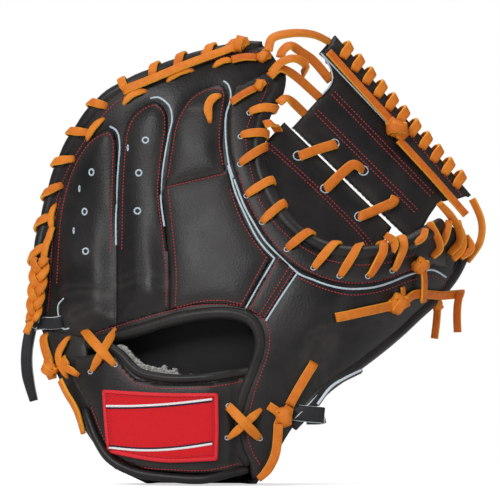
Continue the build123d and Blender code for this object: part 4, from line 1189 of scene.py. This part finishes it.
# ---- black ties ----
# Narrow black ties hold the little finger's loop and the thumb's padding. Their cut sides are pale.
kit = lace_bmesh()
lace_on(kit, [(-120.4, 103), (-128, 102), (-137, 100.6)], 8.0, 0.2, lift=1.8, dives=(1, 0))
lace_through(kit, [(-136, back(-134, 101) - 2.4, 101.4), (-140.6, back(-136, 101) + 1, 102.8),
                   (-141.6, 34, 104.6)], (-0.3, -1, 0.2), 7.0, 0.2)
in_lace(kit, "little_finger_tie_loop", "little_finger_tie", material=TIE, slot="tie_leather")
piped("tie_slot_edge", [[(-119.3, 118), (-123, 113.4), (-122.6, 106), (-121.2, 100.4), (-119.6, 98.2),
                         (-115.8, 98.8)]], 0.5, 0.2)
kit = lace_bmesh()
lace_on(kit, [(29, 40), (35, 46.6), (44, 55.6)], 5.6, 0.2, lift=1.4, dives=(1, 0))
lace_through(kit, [(x, back(x, z) - 2.4, z) for x, z in ((43, 50.6), (51, 61), (60, 66.6), (70.8, 71.8))],
             (0.7, -0.15, -0.7), 4.4, 0.2)
deep = back(34, 46) - 2.2
lace_through(kit, [(27, deep + 1.4, 46), (34, deep - 0.4, 45), (41, deep, 44.4), (45.4, deep + 1.6, 44),
                   (46.2, deep + 4, 43.6), (43, deep + 6, 43), (36, deep + 6.4, 43)],
             (0.05, -1, 0.1), 10.5, 0.2)
in_lace(kit, "thumb_tie_strap", "thumb_tie", material=TIE, slot="tie_leather")


# ---- thumb lacing ----
# A knotted lace crosses the thumb, two ends hang from its rim, and twisted laces join the thumb
# tip to the web.
kit = lace_bmesh()
lace_on(kit, [(54, 105.8), (72, 110), (90, 114)], 6.0, 0.3, lift=2.0, arch=0.8, dives=(0, 0))
lace_on(kit, [(99, 117.6), (105.6, 121.2), (121.6, 120.4), (136, 121.2)], 5.8, 0.6, lift=1.8, arch=0.6,
        dives=(0, 0))
lace_on(kit, [(96.6, 114), (97, 120), (96.8, 125.4)], 3.6, 0.4, lift=1.2, arch=0, dives=(0, 0))
knot_on(kit, 91.6, 115, (0.97, 0.25), 1.3, 0.3)
in_lace(kit, "thumb_lace_and_knot", "thumb_lace")
kit = lace_bmesh()
knot_on(kit, 106.6, 139.8, (0.9, 0.1), 1.05, 0.3)
lace_on(kit, [(107.6, 138), (108, 128), (107.6, 116.6)], 5.4, 0.6, lift=4.4, arch=0.4, dives=(0, 0))
in_lace(kit, "thumb_tip_knot_and_end", "thumb_tip_knot")
THUMB_OUT = Vector((0.6, 0.25, -0.75))
kit = lace_bmesh()
deep = back(120, 119)
knot(kit, Vector((120.6, deep + 2, 114)), (0.1, 0, 1), (-0.2, -1, 0), 0.85, 0.4)
lace_through(kit, [(120.8, deep + 1.4, 112), (120, deep + 1, 102), (118.8, deep + 1.6, 92)],
             (-0.3, -1, 0), 5.0, 0.6)
deep = back(131, 128)
lace_through(kit, [(135.6, deep - 1, 121.4), (134, deep - 0.6, 114), (133.6, deep, 105),
                   (134, deep + 1, 96)], (-0.2, -1, 0), 5.2, 0.8)
for x, z in ((112.6, 110.9), (101.4, 100.2), (89.6, 90.4), (73.9, 77.1), (58.2, 66.8), (45.5, 56.1)):
    place = Vector((x, back(x, z), z))
    i = min(range(1, len(thumb_line) - 1), key=lambda k: (thumb_line[k] - place).length)
    centre, way = thumb_line[i], (thumb_line[i + 1] - thumb_line[i - 1]).normalized()
    out = (THUMB_OUT - way * way.dot(THUMB_OUT)).normalized()
    lace_through(kit, [centre + out * (ROLL_RADIUS - 1.4) + way * reach - Vector((0, abs(reach) - 3, 0)) * 0.3
                       for reach in (-5, -2, 2, 5)], out + Vector((0, -0.3, 0)), 4.2, 0.8)
in_lace(kit, "thumb_rim_lacing", "thumb_rim_lace")
TIP_LACES = [([(121.6, 179), (129, 171), (136, 160), (136.6, 150), (130.6, 143)], 5.4),
             ([(105, 153.6), (110.4, 157), (112.6, 162.4)], 5.2),
             ([(115.4, 166.6), (121.8, 151.6), (116.8, 144.6)], 5.8),
             ([(121.6, 150.6), (125.4, 157.6), (128, 168)], 5.6),
             ([(133.6, 168), (135.4, 155), (128.4, 146.4)], 5.6),
             ([(139.4, 158), (142.6, 150), (135.4, 144)], 5.0),
             ([(86.6, 158.6), (92.4, 154), (90.6, 147.6)], 5.4)]
kit = lace_bmesh()
for i, (route, wide) in enumerate(TIP_LACES):
    points = [Vector((x, min(back(x, z), web(x, z)) - 3.2 - 1.6 * math.sin(math.pi * k / (len(route) - 1)), z))
              for k, (x, z) in enumerate(route)]
    lace_through(kit, points, (-0.4, -1, 0.1), wide, 0.35 + 0.15 * (i % 2), (0.8, 0.8))
in_lace(kit, "thumb_tip_laces", "thumb_tip_lacing")


# ---- palm leather and linings ----
# One heavy hide makes the padded ridge and the pocket. It is laced to the back along the rolled
# rim, with its padding inside. Thin leather linings face the hand.
HAND_DEPTH = 25.7
PALM_LIP = 8.8
HEEL_LIP = 27.0
PALM_EDGE_RADIUS = 17.0
PALM_HIDE = 3.0
PALM_WALL_STEPS = 6
PALM_CREASES = [([(-118, 150), (-80, 158), (-40, 150), (-8, 130)], 1.3),
                ([(-112, 96), (-70, 88), (-26, 92), (4, 84)], 1.1),
                ([(-96, 206), (-66, 196), (-34, 204)], 0.9), ([(28, 92), (60, 108), (96, 122)], 1.0)]
HAND_ROOM = [[(-60, 0.5)], [(-76, 12), (-92, 34), (-105, 58), (-113, 90), (-116, 140), (-104, 190),
             (-84, 214), (-58, 224), (-36, 220), (-30, 198), (-31, 160), (-22, 130), (0, 106),
             (6, 90), (2, 60), (-4, 30)], [(-4, 0.5)]]
THUMB_ROOM = [[(3, 44), (14, 47), (44, 67), (90, 106), (110, 130), (102, 138), (70, 118),
               (30, 96), (8, 84)]]


def front(x, z):
    """Depth of the palm face: a bowl inside the padded ridge."""
    side, height = across(x, z) + 26, along_fold(x, z)
    share = ramp(math.hypot(side / (140 if side < 0 else 75),
                            (height - 140) / (140 if height < 140 else 130)))
    ridge = 66 - 18 * ramp((60 - height) / 60)
    return -10 + (ridge + 10) * share


def palm_leather():
    """The palm hide with its turned edge and its inner face, and the outer face to lay things on."""
    edge = outline([RIM + [(19, 268)], CROTCH + THUMB_TIP, THUMB_TIP[-1:] + THUMB_EDGE, [(4, 0)],
                    [(-66, 0)], SIDE])
    bm = cut_panel(edge, 4.0)
    bmesh.ops.remove_doubles(bm, verts=bm.verts, dist=0.4)
    places = [(vert.co.x, vert.co.z) for vert in bm.verts]
    inside = depth_inside(places, edge)
    rounded = PALM_EDGE_RADIUS * (1 - crown(inside, PALM_EDGE_RADIUS))
    rubbed = np.exp(-np.abs(inside - 9) / 5)
    for line, deep in PALM_CREASES:
        near = distance_to(places, smooth_line(line))
        rounded += deep * np.exp(-(near / 3.0) ** 2)
        rubbed = np.maximum(rubbed, 0.8 * np.exp(-((near - 3.4) / 2.2) ** 2))
    layer = bm.verts.layers.float.new("rubbed")
    for vert, drop, rub in zip(bm.verts, rounded, rubbed):
        x, z = vert.co.x, vert.co.z
        vert.co.y = front(x, z) - drop - 1.4 + hide_wrinkles(x, z, 71.0)
        vert[layer] = rub
    skin = BVHTree.FromBMesh(bm)
    wall = {vert: 0.0 for vert in bm.verts}
    border = [e for e in bm.edges if e.is_boundary]
    for turn in range(PALM_WALL_STEPS):
        made = bmesh.ops.extrude_edge_only(bm, edges=border)["geom"]
        border = [e for e in made if isinstance(e, bmesh.types.BMEdge) and e.is_boundary]
        for vert in {vert for e in border for vert in e.verts}:
            x, z = vert.co.x, vert.co.z
            heel = ramp((x + 64) / 6) * ramp(-x / 6) * ramp((6 - z) / 5)
            lip = back(x, z) + PALM_LIP + (HEEL_LIP - PALM_LIP) * heel
            vert.co.y += (lip - vert.co.y) / (PALM_WALL_STEPS - turn)
            wall[vert] = (turn + 1) / PALM_WALL_STEPS
    outer = list(wall)
    twin = bmesh.ops.duplicate(bm, geom=bm.verts[:] + bm.edges[:] + bm.faces[:])["vert_map"]
    flat = np.array([(vert.co.x, vert.co.z) for vert in outer])
    inside = np.clip(depth_inside(flat, edge), 0, None)
    slopes = [depth_inside(flat + shift, edge) - depth_inside(flat - shift, edge)
              for shift in np.array([[0.5, 0], [0, 0.5]])]
    for vert, deep, slope_x, slope_z in zip(outer, inside, *slopes):
        size = max(math.hypot(slope_x, slope_z), 0.3)
        move = PALM_HIDE * math.exp(-deep / 4) / size
        twin[vert].co += Vector((slope_x * move, -PALM_HIDE * (1 - wall[vert]), slope_z * move))
    for e in border:
        bm.faces.new((e.verts[0], e.verts[1], twin[e.verts[1]], twin[e.verts[0]]))
    return bm, skin


def front_hit(x, z):
    """The point of the palm leather's face at x, z, and its direction outwards."""
    place, normal, _, _ = palm_skin.ray_cast(Vector((x, 400, z)), Vector((0, -1, 0)))
    return place, normal if normal.y > 0 else -normal


bm, palm_skin = palm_leather()
palm = in_leather(bm, "palm_leather", "palm_leather_finger", "palm_leather_thumb",
                  "finger_pad", "heel_pad", "thumb_pad")
for name, runs, node in (("hand_lining_leather", HAND_ROOM, "hand_lining"),
                         ("thumb_lining_leather", THUMB_ROOM, "thumb_lining")):
    edge = outline(runs)
    bm = cut_panel(edge, 5)
    shape_panel(bm, edge, lambda x, z: back(x, z) + HAND_DEPTH, 0.8, 8, 81.0)
    backed(bm, 1.6)
    fitted(shown(bm, name), LINING, "lining_leather", node)


# ---- palm stitching and lacing ----
# Double rows of thread hold the palm's turned edge. The rim laces come up the side of the padding
# and go down into the palm through a ring of holes.
def palm_laid(points, lift, step=2.0):
    """A smooth line laid on the palm leather, with the direction out of it at each place."""
    hits = [front_hit(x, z) for x, z in smooth_line(points, step)]
    return [place + normal * lift for place, normal in hits], [normal for _, normal in hits]


def drawn_to(points, centre, reach):
    """Points moved towards a centre, or away from it if reach is negative."""
    return [Vector(point) + (Vector(centre) - Vector(point)).normalized() * reach for point in points]


def palm_lace(kit, edge, hole, dye):
    """A turn of lace up the side of the padding and over its rounded edge into a hole."""
    edge, hole = Vector(edge), Vector(hole)
    flat = (edge - hole).normalized()
    side = Vector((flat.x, 0, flat.y))
    over = [front_hit(*edge.lerp(hole, share)) for share in (0.12, 0.35, 0.6, 0.85, 1.0)]
    low, high = back(*edge) + 5.0, over[0][0].y
    points = [Vector((edge.x, low + (high - low) * share, edge.y)) + side * 1.3
              for share in (0, 0.35, 0.7, 0.92)]
    points += [place + normal * 1.2 for place, normal in over[:-1]] + [over[-1][0] - over[-1][1] * 1.4]
    wrapped(kit, points, [side] * 4 + [normal for _, normal in over], 5.6, dye, (0.9, 0.75))


RIM_HEART, WEB_HEART, THUMB_HEART = (-20, 130), (60, 215), (-300, 470)
PALM_ROWS = [(RIM[1:-1], RIM_HEART, 1), (CROTCH[1:-1], WEB_HEART, -1), (THUMB_EDGE[1:-2], THUMB_HEART, 1)]
PALM_LACED = [(rim_line, RIM_TURNS, RIM_HEART, 15),
              (crotch_line, [share for share, _ in CROTCH_TURNS], WEB_HEART, -15),
              (thumb_line, (0.25, 0.37, 0.49, 0.61, 0.73, 0.85), THUMB_HEART, 15)]
stitched("palm_stitches", [drawn_to(points, heart, way * reach)
                           for points, heart, way in PALM_ROWS for reach in (20, 22.4)],
         place_line=palm_laid)
kit = lace_bmesh()
for line, shares, heart, reach in PALM_LACED:
    for k, share in enumerate(shares):
        centre, _ = along_line(line, share)
        edge = (centre.x, centre.z)
        palm_lace(kit, edge, drawn_to([edge], heart, reach)[0], 0.15 + 0.12 * (k % 3))
in_lace(kit, "palm_lacing")


# ---- floor, backdrop and light ----
# A flat white floor under a white sky, and soft light from large lamps at a plain level.
def seen_straight(tree):
    """1 for what the camera sees, and 0 for light that bounces."""
    rays = add_node(tree, "ShaderNodeLightPath")
    return add_node(tree, "ShaderNodeMath", {"operation": "MAXIMUM"},
                    {0: rays.outputs["Is Camera Ray"], 1: rays.outputs["Is Transmission Ray"]}).outputs[0]


def glow_white(name, share):
    """Plain white that shows white to the camera and still takes a shadow."""
    material, tree = new_material(name)
    strength = add_node(tree, "ShaderNodeMath", {"operation": "MULTIPLY"}, {0: seen_straight(tree), 1: share})
    glow = add_node(tree, "ShaderNodeEmission", None,
                    {"Color": linear("#FFFFFF"), "Strength": strength.outputs[0]})
    plain = add_node(tree, "ShaderNodeBsdfDiffuse", None, {"Color": linear("#F2F2F2")})
    both = add_node(tree, "ShaderNodeAddShader", None, {0: glow.outputs[0], 1: plain.outputs[0]})
    add_node(tree, "ShaderNodeOutputMaterial", None, {"Surface": both.outputs[0]})
    return material


floor = bmesh.new()
bmesh.ops.create_grid(floor, x_segments=4, y_segments=4, size=1200, matrix=Matrix.Translation((0, -600, -1.0)))
floor = shown(floor, "floor")
floor.data.materials.append(glow_white("white_floor", 0.62))

world = bpy.data.worlds.new("studio")
bpy.context.scene.world = world
world.use_nodes = True
world.node_tree.nodes.clear()
soft, white = (add_node(world.node_tree, "ShaderNodeBackground", None,
                        {"Color": linear("#FFFFFF"), "Strength": strength}) for strength in (0.3, 1.0))
sky = add_node(world.node_tree, "ShaderNodeMixShader", None,
               {0: seen_straight(world.node_tree), 1: soft.outputs[0], 2: white.outputs[0]})
add_node(world.node_tree, "ShaderNodeOutputWorld", None, {"Surface": sky.outputs[0]})

LAMPS = [("key", (-1.1, -1.7, 1.35), 1.0, 30), ("fill", (1.4, -1.8, 0.5), 1.2, 6),
         ("top", (0.2, 0.3, 1.9), 1.1, 15), ("behind", (-0.6, 1.9, 0.9), 1.4, 8)]
for name, place, size, power in LAMPS:
    lamp = bpy.data.objects.new(name, bpy.data.lights.new(name, "AREA"))
    bpy.context.scene.collection.objects.link(lamp)
    lamp.data.size = size
    lamp.data.energy = power
    lamp.location = place
    lamp.rotation_euler = (Vector((0, 0, 0.15)) - lamp.location).to_track_quat("-Z", "Y").to_euler()
bpy.context.scene.view_settings.view_transform = "Standard"
